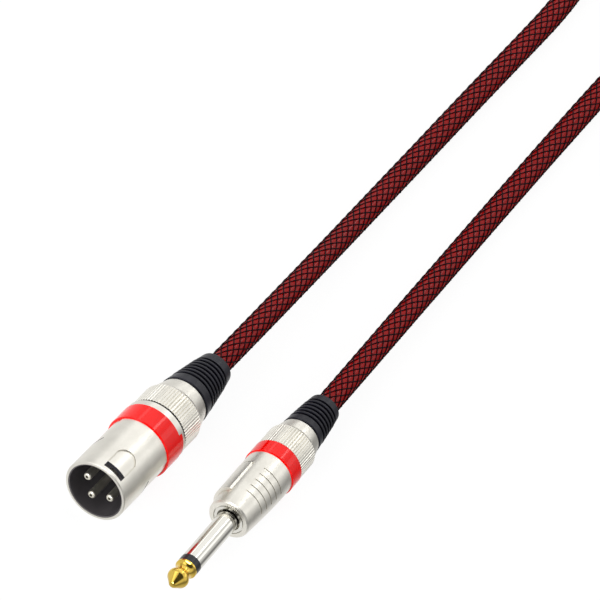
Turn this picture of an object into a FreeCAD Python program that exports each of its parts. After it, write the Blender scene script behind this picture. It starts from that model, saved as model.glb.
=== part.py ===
import FreeCAD, Part
import math
import os

"""Instrument cable: a three-pin XLR plug and a 6.35 mm jack plug on one netted cord.

Millimetres, +Z up. The two plugs lie side by side on a flat surface and point to -Y. Their cords
run to +Y, into one round coil. The origin is on that surface, under the middle of the two plugs.
Each plug is drawn along its own Y axis, with Y = 0 at its front face, and is then set in its place.
"""

# Both plugs
RUNNING_GAP = 0.08          # radial play of a screw thread, drawn as a plain cylinder
SEAT_GAP = 0.05             # radial play of pieces that are pushed into each other
END_GAP = 0.1               # axial play between pieces that turn against each other
CHUCK_GAP = 0.15            # between a collet's cone and the cone inside its nut
BOOT_PLAY = 0.3             # between a boot's bore and the cord
THREAD_LENGTH = 5.2         # engagement of each screw thread
BOOT_BEVEL = 0.3
BOOT_GROOVE = 0.55          # depth of the grooves between a boot's ribs
BOOT_RIB = 0.12             # how far each rib stands proud of the boot's cone
BOOT_ROUNDING = 0.5         # rounded share of the boot's wall at its rear end
BOOT_SHADOW = 0.45          # open groove between each nut and its boot's collar
COLLET_SLOTS = 4
COLLET_RING = 1.5           # uncut length in front of the saw cuts
COLLET_SLOT = 1.0           # width of the saw cuts in a collet
FLUTE_DEPTH = 0.25          # of the knurl
NUT_BULGE = 0.06            # crown of the smooth band behind the knurl
CUT_MARGIN = 1.0            # how far cutting shapes stand out of what they cut
RING_BEVEL = 0.3            # at the front of the colour rings
EDGE_BREAK = 0.1            # at their rear
CORD_STOP = 1.0             # bored depth in front of the cut jacket

# Cord
CORD_D = 7.0
CORD_R = CORD_D / 2
CORE_R = 1.6                # inner insulation of the cord
CORE_BARED = 2.5            # length of inner insulation that stands out of the jacket
LEAD_R = 0.5
LEAD_STRAIGHT = 1.2         # straight end of each lead
LEAD_LAP = 3.0              # length of lead laid along a lug's tongue
LEAD_GAP = 0.2              # between a lead or a lug's tongue and the piece beside it
LINK_R = 0.4
ARC_SHARE = 0.45            # share of the shorter run that an arc takes
CORD_STRAIGHT = 29.0        # straight cord behind each boot, which slides back over it

# XLR plug, measured rearwards from its mouth
XLR_SHELL_R = 9.5
XLR_SHELL_WALL = 0.75
XLR_BORE_R = XLR_SHELL_R - XLR_SHELL_WALL
XLR_LIP_STEP = 0.1          # how far the mouth's lip stands in front of the liner
XLR_LIP_R = XLR_BORE_R - XLR_LIP_STEP
XLR_LIP = 0.2
XLR_MOUTH_CHAMFER = 0.25
XLR_FRONT = 22.0            # length of the shell in front of the colour ring
XLR_RING_WIDTH = 7.0
XLR_RING_STAND = 0.4        # how far the ring stands proud of the shell
XLR_RING_WALL = 0.65
XLR_RING_R = XLR_SHELL_R + XLR_RING_STAND
XLR_RING_SEAT_R = XLR_RING_R - XLR_RING_WALL
XLR_RING_TAB = 1.3
XLR_TAB_FROM = 37.0         # degrees from the top, towards +X
XLR_TAB_TO = 80.0
XLR_TAB_PLAY = 0.5          # degrees at either end of the tab
XLR_RIM_WIDTH = 2.1
XLR_RIM_STAND = 0.2         # how far the rim behind the ring stands proud of the shell
XLR_RIM_R = XLR_SHELL_R + XLR_RIM_STAND
XLR_WINDOW_FRONT = 1.2
XLR_WINDOW = 2.1
XLR_WINDOW_WIDTH = 6.45
XLR_WINDOW_PLAY = 0.2       # how far the liner's window stands back from the shell's
XLR_PAD_STRAIGHT = 5.3      # straight sides of the D-shaped pad behind the window
XLR_PAD_LENGTH = 7.6
XLR_PAD_DEPTH = 0.35
XLR_POCKET_LENGTH = 9.6     # of the side pockets' straight edges, forwards from the colour ring
XLR_POCKET_BULGE = 2.1      # of their rounded front ends
XLR_POCKET_HEIGHT = 8.6
XLR_POCKET_DEPTH = 0.25
XLR_POCKET_LINE = 0.4       # width of the deeper line round their front ends
XLR_POCKET_LINE_DEPTH = 0.4
XLR_LINER_WALL = 0.4
XLR_FLOOR = 15.5            # depth of the socket's floor
XLR_FLOOR_THICKNESS = 5.5
XLR_PIN_R = 1.2
XLR_PIN_SHOULDER = 0.2      # how much thinner the pin is inside the insert
XLR_PIN_SHANK_R = XLR_PIN_R - XLR_PIN_SHOULDER
XLR_PIN_RECESS = 1.6        # from the mouth to the tips of the pins
XLR_PIN_ROUND = 0.6
XLR_PIN_HOLE_R = 0.45
XLR_PIN_HOLE = 3.0
XLR_PIN_TAIL = 5.0          # length of the solder cups behind the insert
XLR_COLLAR_R = 1.7
XLR_COLLAR = 0.7
XLR_CUP_R = 0.8
XLR_CUP = 3.5
XLR_SPRING_DEPTH = 0.5      # depth of its groove in the insert
XLR_SPRING_SEAT_R = XLR_BORE_R - XLR_SPRING_DEPTH
XLR_SPRING_SETBACK = 1.7    # behind the face of the socket's floor
XLR_SPRING_FRONT = XLR_FLOOR + XLR_SPRING_SETBACK
XLR_SPRING_WIDTH = 2.6
XLR_SPRING_OPENING = 60.0   # degrees left open in the earth spring
XLR_SPIGOT_WALL = 1.67      # of the nut's threaded spigot
XLR_CHUCK_R = XLR_BORE_R - RUNNING_GAP - XLR_SPIGOT_WALL - CHUCK_GAP
XLR_CHUCK_WALL = 0.75
XLR_CHUCK_BORE_R = XLR_CHUCK_R - XLR_CHUCK_WALL
XLR_CUP_PLAY = 0.65         # between the solder cups and the collet round them
XLR_PIN_CIRCLE_R = XLR_CHUCK_BORE_R - XLR_CUP_PLAY - XLR_PIN_R
XLR_JAW = 1.9               # wall of the collet's jaws at their rear
XLR_CHUCK_REAR_R = CORD_R + XLR_JAW
XLR_CHUCK_CONE = 8.0
XLR_SOLDER_SPACE = 13.0     # from the collet's front to the cut end of the cord's jacket
XLR_NUT_STEP = 0.3          # how far the knurl lies below the rim in front of it
XLR_NUT_R = XLR_RIM_R - XLR_NUT_STEP
XLR_NUT_GAP = 0.9           # shadow gap in front of the knurl
XLR_NUT_KNURL = 8.1
XLR_NUT_SHOULDER = 0.5
XLR_NUT_BAND = 5.4
XLR_NUT_BAND_STEP = 0.55
XLR_NUT_BAND_R = XLR_NUT_R - XLR_NUT_BAND_STEP
XLR_NUT_TAPER = 1.3
XLR_NUT_REAR_R = XLR_NUT_BAND_R - XLR_NUT_TAPER
XLR_FLUTES = 64
XLR_NUT_LIP = 1.2
XLR_BOOT_NECK = 1.15        # wall of the boot where it passes the nut's lip
XLR_NUT_MOUTH_R = CORD_R + BOOT_PLAY + XLR_BOOT_NECK
XLR_FLANGE_STAND = 1.15     # how far the boot's flange stands behind the nut's lip
XLR_FLANGE_R = XLR_NUT_MOUTH_R + XLR_FLANGE_STAND
XLR_FLANGE = 2.5            # thickness of the boot's flange
XLR_BOOT_LENGTH = 17.6
XLR_BOOT_STAND = 0.2        # how far the boot stands proud of the nut's rear edge
XLR_BOOT_R = XLR_NUT_REAR_R + XLR_BOOT_STAND
XLR_BOOT_WALL = 1.25        # at its rear end
XLR_BOOT_REAR_R = CORD_R + BOOT_PLAY + XLR_BOOT_WALL
XLR_BOOT_COLLAR = 3.1
XLR_BOOT_TAIL = 3.5
XLR_BOOT_RIBS = 6

# Jack plug, measured rearwards from the front face of its barrel
JACK_SHAFT_R = 3.175
JACK_SHANK_STEP = 0.2       # how much thinner the sleeve is inside the front bush
JACK_SHANK_R = JACK_SHAFT_R - JACK_SHANK_STEP
JACK_TIP_LENGTH = 8.3
JACK_INSULATOR = 2.4
JACK_SLEEVE = 20.8
JACK_NOSE_MID = (0.08, 0.55)    # outline of the tip: distance behind its apex, radius
JACK_NOSE_END = (0.32, 1.05)
JACK_CONE_END = (2.35, 2.58)
JACK_BALL = (3.45, 3.12)
JACK_BALL_REAR = (4.85, 2.68)
JACK_NECK = (5.85, 2.22)
JACK_FLARE_END = (7.8, JACK_SHAFT_R)
JACK_TIP_HOLE = 3.0
JACK_SLEEVE_WALL = 1.275
JACK_SLEEVE_BORE_R = JACK_SHAFT_R - JACK_SLEEVE_WALL
JACK_ROD_R = 0.8
JACK_FRONT_WALL = 3.0
JACK_BARREL_R = 7.35
JACK_TAPER = 1.1            # how much slimmer the barrel is at its face
JACK_FACE_R = JACK_BARREL_R - JACK_TAPER
JACK_BARREL = 22.4          # length of the barrel in front of the colour ring
JACK_TAPER_END = 18.0
JACK_TAPER_BULGE = 0.12     # crown of the taper
JACK_FACE_BEVEL = 0.45
JACK_BUSH_GAP = 0.45        # dark ring round the shaft
JACK_BUSH_BORE_R = JACK_SHAFT_R + JACK_BUSH_GAP
JACK_BUSH_WALL = 1.025
JACK_BUSH_R = JACK_BUSH_BORE_R + JACK_BUSH_WALL
JACK_BUSH_GROOVE = 0.2      # width of the dark line round the bush
JACK_BUSH_GROOVE_DEPTH = 0.5
JACK_BARREL_WALL = 1.6
JACK_BORE_R = JACK_BARREL_R - JACK_BARREL_WALL
JACK_THREAD_STEP = 0.45     # how much wider the thread is than the bore in front of it
JACK_THREAD_R = JACK_BORE_R + JACK_THREAD_STEP
JACK_THREAD = 6.6           # length of the barrel's thread
JACK_RING_WIDTH = 5.2
JACK_RING_STAND = 0.35
JACK_RING_WALL = 0.6
JACK_RING_R = JACK_BARREL_R + JACK_RING_STAND
JACK_RING_SEAT_R = JACK_RING_R - JACK_RING_WALL
JACK_PAD_FRONT = 4.9        # of the raised pad on the left side, left where the taper is cut round it
JACK_PAD_REAR = 17.3
JACK_PAD_STAND = 0.08       # how far the pad stands proud of the barrel's cylinder
JACK_PAD_R = JACK_BARREL_R + JACK_PAD_STAND
JACK_PAD_HALF = 4.7         # half of its width
JACK_PAD_LEDGE = 0.7        # width of the flat ledge along either edge
JACK_PAD_GROOVE = 0.35      # width and depth of the line behind it
JACK_GROOVES = 5
JACK_GROOVE_FRONT = 6.7
JACK_GROOVE_PITCH = 2.475
JACK_GROOVE_WIDTH = 0.35
JACK_GROOVE_DEPTH = 0.2
JACK_GROOVE_FROM = -17.0
JACK_GROOVE_TO = 59.0
JACK_GROOVE_UNDER = 160.0   # how far round they repeat underneath
JACK_FLANGE_R = JACK_BORE_R - SEAT_GAP
JACK_FLANGE = 1.5
JACK_SPIGOT_WALL = 1.0
JACK_SPIGOT_R = JACK_SLEEVE_BORE_R + JACK_SPIGOT_WALL
JACK_LUG = 0.6              # thickness of the solder lugs
JACK_TUBE_WALL = 0.3
JACK_LUG_R = JACK_BORE_R - SEAT_GAP - JACK_TUBE_WALL - LEAD_GAP
JACK_LUG_TONGUE = 13.5
JACK_LUG_WIDTH = 3.2
JACK_WASHER = 0.8
JACK_WASHER_MARGIN = 1.3    # how far it reaches beyond the spigot
JACK_WASHER_R = JACK_SPIGOT_R + JACK_WASHER_MARGIN
JACK_TIP_LUG_WIDTH = 1.5
JACK_TIP_LUG_R = JACK_ROD_R + JACK_TIP_LUG_WIDTH
JACK_TIP_TONGUE = 7.0
JACK_TIP_TONGUE_WIDTH = 1.8
JACK_RIVET_STAND = 0.6
JACK_RIVET_R = JACK_ROD_R + JACK_RIVET_STAND
JACK_RIVET = 0.6
JACK_TUBE = 14.9            # length of the insulating tube, from the sleeve's flange to the collet
JACK_SPIGOT_OF_NUT_WALL = 0.67
JACK_CHUCK_R = JACK_THREAD_R - RUNNING_GAP - JACK_SPIGOT_OF_NUT_WALL - CHUCK_GAP
JACK_CHUCK_FLANGE_R = JACK_BORE_R - CHUCK_GAP
JACK_CHUCK_FLANGE = 1.2
JACK_CHUCK_WALL = 0.8
JACK_CHUCK_BORE_R = JACK_CHUCK_R - JACK_CHUCK_WALL
JACK_JAW = 1.15             # wall of the collet's jaws at their rear
JACK_CHUCK_REAR_R = CORD_R + JACK_JAW
JACK_CHUCK_CONE = 7.5
JACK_SOLDER_SPACE = 6.6     # from the collet's front to the cut end of the cord's jacket
JACK_NUT_STEP = 0.2         # how far the knurl lies below the ring in front of it
JACK_NUT_R = JACK_RING_R - JACK_NUT_STEP
JACK_NUT_GAP = 0.1
JACK_NUT_KNURL = 7.9
JACK_NUT_SHOULDER = 0.4
JACK_NUT_BAND = 4.4
JACK_NUT_BAND_STEP = 0.5
JACK_NUT_BAND_R = JACK_NUT_R - JACK_NUT_BAND_STEP
JACK_NUT_TAPER = 0.95
JACK_NUT_REAR_R = JACK_NUT_BAND_R - JACK_NUT_TAPER
JACK_FLUTES = 56
JACK_NUT_LIP = 1.1
JACK_BOOT_NECK = 0.65       # wall of the boot where it passes the nut's lip
JACK_NUT_MOUTH_R = CORD_R + BOOT_PLAY + JACK_BOOT_NECK
JACK_FLANGE_STAND = 0.55    # how far the boot's flange stands behind the nut's lip
JACK_FLANGE_OF_BOOT_R = JACK_NUT_MOUTH_R + JACK_FLANGE_STAND
JACK_FLANGE_OF_BOOT = 2.0   # thickness of the boot's flange
JACK_BOOT_LENGTH = 14.2
JACK_BOOT_STAND = 0.1       # how far the boot stands proud of the nut's rear edge
JACK_BOOT_R = JACK_NUT_REAR_R + JACK_BOOT_STAND
JACK_BOOT_WALL = 0.9        # at its rear end
JACK_BOOT_REAR_R = CORD_R + BOOT_PLAY + JACK_BOOT_WALL
JACK_BOOT_COLLAR = 2.4
JACK_BOOT_TAIL = 2.6
JACK_BOOT_RIBS = 5

# Where the plugs and the coil lie
XLR_X = -14.18
XLR_Y = -39.83              # of the mouth
JACK_X = 17.38
JACK_Y = -11.43             # of the barrel's front face
JACK_TURN = 2.53            # degrees, rear end towards -X
TIE_THICKNESS = 0.9
TIE_WIDTH = 10.0
TIE_PLAY = 0.3
COIL_LIFT = 0.1             # between the coil and the ties it lies on
TIE_CORNER_R = 3.0
COIL_X = -4.0
COIL_Y = 331.0
COIL_INNER_R = 28.0         # of the half turn that climbs
COIL_GAP = 0.5              # between turns, and between layers
COIL_PITCH = CORD_D + COIL_GAP
COIL_HALF_TURNS = 8         # in each layer
CLIMB_SLOPE = 1.2           # steepness at the middle of the climb, against an even one
GAP_STEP = 2.5              # spacing of the points on which the coil's gap is measured
FLOOR_Z = CORD_R
COIL_Z = TIE_THICKNESS + COIL_LIFT + CORD_R
COIL_OUTER_R = COIL_INNER_R + COIL_HALF_TURNS * COIL_PITCH / 2
XLR_ROUTE = [               # the cord's centre line between the plug's straight and the coil
    (-14.8, 116.0, FLOOR_Z), (-15.6, 172.0, FLOOR_Z), (-16.1, 237.0, FLOOR_Z),
    (-32.0, 268.5, 3.6), (-52.0, 288.0, 4.3), (-62.0, 311.0, COIL_Z),
]
JACK_ROUTE = [
    (11.5, 131.0, FLOOR_Z), (9.7, 176.0, FLOOR_Z), (8.2, 231.0, FLOOR_Z),
    (18.0, 262.0, 4.3), (43.5, 283.0, 9.0), (54.0, 310.0, 12.0),
]

V = FreeCAD.Vector
FORWARD = V(0, 1, 0)
ORIGIN = V(0, 0, 0)


def ring_of(outline):
    """Turns an outline of (along, radius) points about the Y axis. A point given as a pair of
    points is an arc, through the first and to the second."""
    edges = []
    at = V(0, *outline[0])
    for step in list(outline[1:]) + [outline[0]]:
        if isinstance(step[0], tuple):
            middle, end = V(0, *step[0]), V(0, *step[1])
            edges.append(Part.Arc(at, middle, end).toShape())
        else:
            end = V(0, *step)
            edges.append(Part.LineSegment(at, end).toShape())
        at = end
    return Part.Face(Part.Wire(edges)).revolve(ORIGIN, FORWARD, 360)


def rod(front, rear, radius, x=0.0, z=0.0):
    """A round rod along Y."""
    return Part.makeCylinder(radius, rear - front, V(x, front, z), FORWARD)


def tube(front, rear, outer_r, inner_r):
    return rod(front, rear, outer_r).cut(rod(front, rear, inner_r))


def block(x_range, y_range, z_range):
    size = [high - low for low, high in (x_range, y_range, z_range)]
    return Part.makeBox(*size, V(x_range[0], y_range[0], z_range[0]))


def pocket_block(half, front, rear, bulge, z_range):
    """A block that stands on the top, with a front end that bulges forwards."""
    low, high = z_range
    wire = Part.Wire([
        Part.LineSegment(V(-half, front, low), V(-half, rear, low)).toShape(),
        Part.LineSegment(V(-half, rear, low), V(half, rear, low)).toShape(),
        Part.LineSegment(V(half, rear, low), V(half, front, low)).toShape(),
        Part.Arc(V(half, front, low), V(0, front - bulge, low), V(-half, front, low)).toShape(),
    ])
    return Part.Face(wire).extrude(V(0, 0, high - low))


def about_axis(shape, degrees):
    """Turns a shape about the plug's axis, from the top towards +X."""
    turned = shape.copy()
    turned.rotate(ORIGIN, FORWARD, degrees)
    return turned


def sector(front, rear, outer_r, inner_r, start, end):
    """A part of a tube, between two angles from the top towards +X."""
    corners = [V(0, front, inner_r), V(0, rear, inner_r), V(0, rear, outer_r), V(0, front, outer_r)]
    face = Part.Face(Part.makePolygon(corners + corners[:1]))
    return about_axis(face.revolve(ORIGIN, FORWARD, end - start), start)


def fluted(shape, front, rear, radius, flutes):
    """Cuts straight axial V flutes round a shape."""
    points = []
    for index in range(2 * flutes + 1):
        r = radius + FLUTE_DEPTH if index % 2 else radius - FLUTE_DEPTH
        angle = math.pi * index / flutes
        points.append(V(r * math.sin(angle), front, r * math.cos(angle)))
    star = Part.Face(Part.makePolygon(points)).extrude(V(0, rear - front, 0))
    return shape.cut(rod(front, rear, radius + CUT_MARGIN).cut(star))


def collet(front, bore_rear, rear, radius, rear_r, cone, bore_r, flange=None):
    """Collet with a wide front bore, jaws that close on the cord, and a cone at its rear."""
    outline = [(front, 0), (rear, 0), (rear, rear_r), (rear - cone, radius), (front, radius)]
    body = ring_of(outline)
    if flange:
        body = body.fuse(rod(front, front + flange[1], flange[0]))
    body = body.cut(rod(front, bore_rear, bore_r)).cut(rod(bore_rear, rear, CORD_R + SEAT_GAP))
    slot_front = bore_rear + COLLET_RING
    for index in range(COLLET_SLOTS // 2):
        slot = block((-COLLET_SLOT / 2, COLLET_SLOT / 2), (slot_front, rear), (-radius, radius))
        body = body.cut(about_axis(slot, 180.0 * index / (COLLET_SLOTS // 2)))
    return body.removeSplitter()


def nut(front, outer, knurl, shoulder, band, flutes, spigot_r, chuck, lip, mouth_r, flange_r):
    """Knurled nut with a threaded spigot in front, a cone that closes the collet, and a lip that
    holds the boot's flange. outer is its (knurl, band, rear) radii, chuck is the collet's
    (radius, rear radius, start of its cone, rear end)."""
    knurl_r, band_r, rear_r = outer
    chuck_r, chuck_rear_r, cone_start, chuck_rear = chuck
    knurl_end = front + knurl
    rear = knurl_end + band
    outline = [
        (front, 0), (rear, 0), (rear, rear_r),
        ((knurl_end + band / 2, (band_r + rear_r) / 2 + NUT_BULGE), (knurl_end + shoulder, band_r)),
        (knurl_end, knurl_r - shoulder / 2), (knurl_end - shoulder, knurl_r),
        (front, knurl_r),
    ]
    body = fluted(ring_of(outline), front, knurl_end, knurl_r, flutes)
    body = body.fuse(rod(front - THREAD_LENGTH, front, spigot_r))
    spigot_front = front - THREAD_LENGTH
    chamber_front = chuck_rear + END_GAP
    bore = ring_of([
        (spigot_front, 0), (rear - lip, 0), (rear - lip, flange_r + END_GAP),
        (chamber_front, flange_r + END_GAP), (chamber_front, chuck_rear_r + CHUCK_GAP),
        (chuck_rear, chuck_rear_r + CHUCK_GAP), (cone_start, chuck_r + CHUCK_GAP),
        (spigot_front, chuck_r + CHUCK_GAP),
    ])
    return body.cut(bore).cut(rod(rear - lip, rear, mouth_r)).removeSplitter()


def boot(chamber_front, nut_rear, lip, flange_r, mouth_r, length, front_r, rear_r, collar, tail, ribs):
    """Rubber boot: a flange held in the nut, a smooth collar, ribs with rounded tops and a smooth tail."""
    flange_front = chamber_front + END_GAP
    neck_front = nut_rear - lip - END_GAP
    start = nut_rear + BOOT_SHADOW
    end = nut_rear + length
    neck_r = mouth_r - END_GAP
    bore_r = CORD_R + BOOT_PLAY
    ribs_front = start + collar
    ribs_rear = end - tail
    pitch = (ribs_rear - ribs_front) / (ribs + 0.5)
    groove = pitch / 2
    slope = (rear_r - front_r) / (end - start)

    def radius_at(along):
        return front_r + slope * (along - start)

    outline = [
        (flange_front, bore_r), (flange_front, flange_r), (neck_front, flange_r), (neck_front, neck_r),
        (start, neck_r), (start, front_r - BOOT_BEVEL), (start + BOOT_BEVEL, radius_at(start + BOOT_BEVEL)),
        (ribs_front, radius_at(ribs_front)),
    ]
    for index in range(ribs + 1):
        at = ribs_front + index * pitch
        outline += [
            (at, radius_at(at) - BOOT_GROOVE), (at + groove, radius_at(at + groove) - BOOT_GROOVE),
            (at + groove, radius_at(at + groove)),
        ]
        if index < ribs:
            middle = at + (groove + pitch) / 2
            outline.append(((middle, radius_at(middle) + BOOT_RIB), (at + pitch, radius_at(at + pitch))))
    rounding = (rear_r - bore_r) * BOOT_ROUNDING
    corner = rounding * (1 - math.sqrt(0.5))
    outline += [
        (end - rounding, rear_r), ((end - corner, rear_r - corner), (end, rear_r - rounding)), (end, bore_r),
    ]
    return ring_of(outline)


def route(points):
    """A wire of straight runs through the points, joined by tangent arcs. Returns the wire and
    the arcs' radii."""
    points = [V(*point) for point in points]
    edges, radii = [], []
    at = points[0]
    for before, corner, after in zip(points, points[1:], points[2:]):
        into, out_of = (corner - before), (after - corner)
        reach = ARC_SHARE * min(into.Length, out_of.Length)
        into.normalize()
        out_of.normalize()
        turn = into.getAngle(out_of)
        radius = reach / math.tan(turn / 2)
        arc_start, arc_end = corner - into * reach, corner + out_of * reach
        inwards = (out_of - into).normalize()
        middle = corner + inwards * (radius / math.cos(turn / 2) - radius)
        edges.append(Part.LineSegment(at, arc_start).toShape())
        edges.append(Part.Arc(arc_start, middle, arc_end).toShape())
        radii.append(radius)
        at = arc_end
    edges.append(Part.LineSegment(at, points[-1]).toShape())
    return Part.Wire(edges), radii


def piped(wire, radius, start, heading):
    """A round tube along a wire, which starts there with that heading."""
    section = Part.Wire([Part.makeCircle(radius, start, heading)])
    return wire.makePipeShell([section], True, False)


def cord_along(name, points, radius=CORD_R):
    """A round cord or wire through the points. Prints its radii, and its volume against its
    section times its length."""
    wire, radii = route(points)
    solid = piped(wire, radius, V(*points[0]), V(*points[1]) - V(*points[0]))
    share = solid.Volume / (math.pi * radius ** 2 * wire.Length)
    listed = " ".join(f"{r:.1f}" for r in radii)
    print(f"{name}: length {wire.Length:.1f} radii {listed} volume share {share:.4f} valid {solid.isValid()}")
    return solid, wire.Length


def biarc(start, start_way, end, end_way):
    """Two arcs that meet smoothly, from one point and direction to another. Returns edges."""
    span = end - start
    ways = start_way + end_way
    grip = 2 * (1 - start_way.dot(end_way))
    reach = (math.sqrt(span.dot(ways) ** 2 + grip * span.dot(span)) - span.dot(ways)) / grip
    meet = (start + end + (start_way - end_way) * reach) * 0.5

    def arc(a, b, corner):
        chord = (a + b) * 0.5
        turn = (corner - a).getAngle(b - corner)
        middle = chord + (corner - chord) * (math.tan(turn / 4) / math.tan(turn / 2))
        return Part.Arc(a, middle, b).toShape()

    return [arc(start, meet, start + start_way * reach), arc(meet, end, end - end_way * reach)]


def coil_edges():
    """Half turns whose radius steps down, climbs one layer where the spiral reverses, and steps
    up again. They start on the left, go clockwise from above, and end on the right."""
    step = COIL_PITCH / 2
    inwards = [COIL_INNER_R + step * k for k in range(COIL_HALF_TURNS, 0, -1)]
    radii = inwards + [COIL_INNER_R] + inwards[::-1]
    x = COIL_X - COIL_OUTER_R
    z = COIL_Z
    edges = []
    for index, radius in enumerate(radii):
        side = 1 if index % 2 == 0 else -1
        climb = COIL_PITCH if index == COIL_HALF_TURNS else 0.0
        start = V(x, COIL_Y, z)
        end = V(x + 2 * side * radius, COIL_Y, z + climb)
        top = V(x + side * radius, COIL_Y + side * radius, z + climb / 2)
        if climb:
            rise = V(side, 0, CLIMB_SLOPE * climb / (2 * radius)).normalize()
            edges += biarc(start, V(0, side, 0), top, rise)
            edges += biarc(top, rise, end, V(0, -side, 0))
        else:
            edges.append(Part.Arc(start, top, end).toShape())
        x, z = end.x, end.z
    return edges, V(x, COIL_Y, z)


def least_gap(edges, radius):
    """Least distance between the tube's surface and a later part of itself, on points."""
    points, lengths = [], []
    travelled = 0.0
    for edge in edges:
        count = int(edge.Length / GAP_STEP) + 2
        for point in edge.discretize(count)[:-1]:
            points.append(point)
            lengths.append(travelled)
            travelled += edge.Length / (count - 1)
    least = float("inf")
    skip = math.pi * COIL_INNER_R
    for i, point in enumerate(points):
        for j in range(i + 1, len(points)):
            if lengths[j] - lengths[i] > skip:
                apart = abs(points[j].x - point.x)
                if apart < least + 2 * radius:
                    least = min(least, point.distanceToPoint(points[j]) - 2 * radius)
    return least


def tie(side, inner_r, outer_r, shift):
    """Strap in a closed loop round the coil's section, with its width along X. side is -1 for the
    side near the plugs, shift is how far the turns' centres lie to either side."""
    reach = TIE_WIDTH / 2 + shift
    inner = math.sqrt((inner_r - CORD_R) ** 2 - reach ** 2) - TIE_PLAY
    outer = outer_r + CORD_R + TIE_PLAY
    bottom = COIL_Z - CORD_R - COIL_LIFT
    top = COIL_Z + COIL_PITCH + CORD_R + TIE_PLAY
    y = COIL_Y + (inner if side > 0 else -outer)

    def loop(grow):
        corner = V(COIL_X - TIE_WIDTH / 2, y - grow, bottom - grow)
        body = Part.makeBox(TIE_WIDTH, outer - inner + 2 * grow, top - bottom + 2 * grow, corner)
        along_x = [edge for edge in body.Edges if abs(edge.tangentAt(edge.FirstParameter).x) > 0.9]
        return body.makeFillet(TIE_CORNER_R + grow, along_x)

    return loop(TIE_THICKNESS).cut(loop(0.0))


# XLR plug
def xlr_window(play):
    half = XLR_WINDOW_WIDTH / 2 + play
    return block((-half, half), (XLR_WINDOW_FRONT - play, XLR_WINDOW_FRONT + XLR_WINDOW + play),
                 (XLR_BORE_R / 2, XLR_RING_R))


def xlr_pad():
    """D-shaped recess behind the window, left bare."""
    half = XLR_WINDOW_WIDTH / 2
    front = XLR_WINDOW_FRONT + XLR_WINDOW
    height = XLR_BORE_R / 2
    left, right = V(-half, front, height), V(half, front, height)
    left_end = V(-half, front + XLR_PAD_STRAIGHT, height)
    right_end = V(half, front + XLR_PAD_STRAIGHT, height)
    apex = V(0, front + XLR_PAD_LENGTH, height)
    wire = Part.Wire([
        Part.LineSegment(left, right).toShape(), Part.LineSegment(right, right_end).toShape(),
        Part.Arc(right_end, apex, left_end).toShape(), Part.LineSegment(left_end, left).toShape(),
    ])
    prism = Part.Face(wire).extrude(V(0, 0, XLR_RING_R - height))
    return prism.cut(rod(0, XLR_FRONT, XLR_SHELL_R - XLR_PAD_DEPTH))


def xlr_shell():
    seat_rear = XLR_FRONT + XLR_RING_WIDTH
    rear = seat_rear + XLR_RIM_WIDTH
    body = ring_of([
        (0, XLR_LIP_R), (0, XLR_SHELL_R - XLR_MOUTH_CHAMFER), (XLR_MOUTH_CHAMFER, XLR_SHELL_R),
        (XLR_FRONT, XLR_SHELL_R), (XLR_FRONT, XLR_RING_SEAT_R), (seat_rear, XLR_RING_SEAT_R),
        (seat_rear, XLR_RIM_R), (rear, XLR_RIM_R), (rear, XLR_BORE_R), (XLR_LIP, XLR_BORE_R),
        (XLR_LIP, XLR_LIP_R),
    ])
    pocket = pocket_block(XLR_POCKET_HEIGHT / 2, XLR_FRONT - XLR_POCKET_LENGTH, XLR_FRONT, XLR_POCKET_BULGE,
                          (XLR_RING_SEAT_R / 2, XLR_RING_R))
    inner = pocket_block(XLR_POCKET_HEIGHT / 2 - XLR_POCKET_LINE, XLR_FRONT - XLR_POCKET_LENGTH + XLR_POCKET_LINE / 2,
                         XLR_FRONT + CUT_MARGIN, XLR_POCKET_BULGE, (0, XLR_RING_R + CUT_MARGIN))
    line = pocket.common(block((-XLR_RING_R, XLR_RING_R), (0, XLR_FRONT - XLR_POCKET_LENGTH), (0, XLR_RING_R)))
    line = line.cut(inner).cut(rod(0, rear, XLR_SHELL_R - XLR_POCKET_LINE_DEPTH))
    pocket = pocket.cut(rod(0, rear, XLR_SHELL_R - XLR_POCKET_DEPTH))
    notch = sector(seat_rear, seat_rear + XLR_RING_TAB, XLR_RIM_R + CUT_MARGIN, XLR_RING_SEAT_R,
                   XLR_TAB_FROM, XLR_TAB_TO)
    for side in (-90, 90):
        body = body.cut(about_axis(pocket, side)).cut(about_axis(line, side))
    for cutter in (xlr_window(0), xlr_pad(), notch):
        body = body.cut(cutter)
    return body.removeSplitter()


def xlr_color_ring():
    front, rear = XLR_FRONT + END_GAP / 2, XLR_FRONT + XLR_RING_WIDTH - END_GAP / 2
    inner = XLR_RING_SEAT_R + SEAT_GAP
    body = ring_of([
        (front, inner), (front, XLR_RING_R - RING_BEVEL), (front + RING_BEVEL, XLR_RING_R),
        (rear - EDGE_BREAK, XLR_RING_R), (rear, XLR_RING_R - EDGE_BREAK), (rear, inner),
    ])
    tab = sector(rear - XLR_RING_TAB / 2, rear + XLR_RING_TAB - END_GAP, XLR_RING_R - EDGE_BREAK, inner,
                 XLR_TAB_FROM + XLR_TAB_PLAY, XLR_TAB_TO - XLR_TAB_PLAY)
    return body.fuse(tab).removeSplitter()


def xlr_pin_places():
    """Pins 1 and 2 level with the axis, pin 3 below it."""
    return {1: (-XLR_PIN_CIRCLE_R, 0.0), 2: (XLR_PIN_CIRCLE_R, 0.0), 3: (0.0, -XLR_PIN_CIRCLE_R)}


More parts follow.
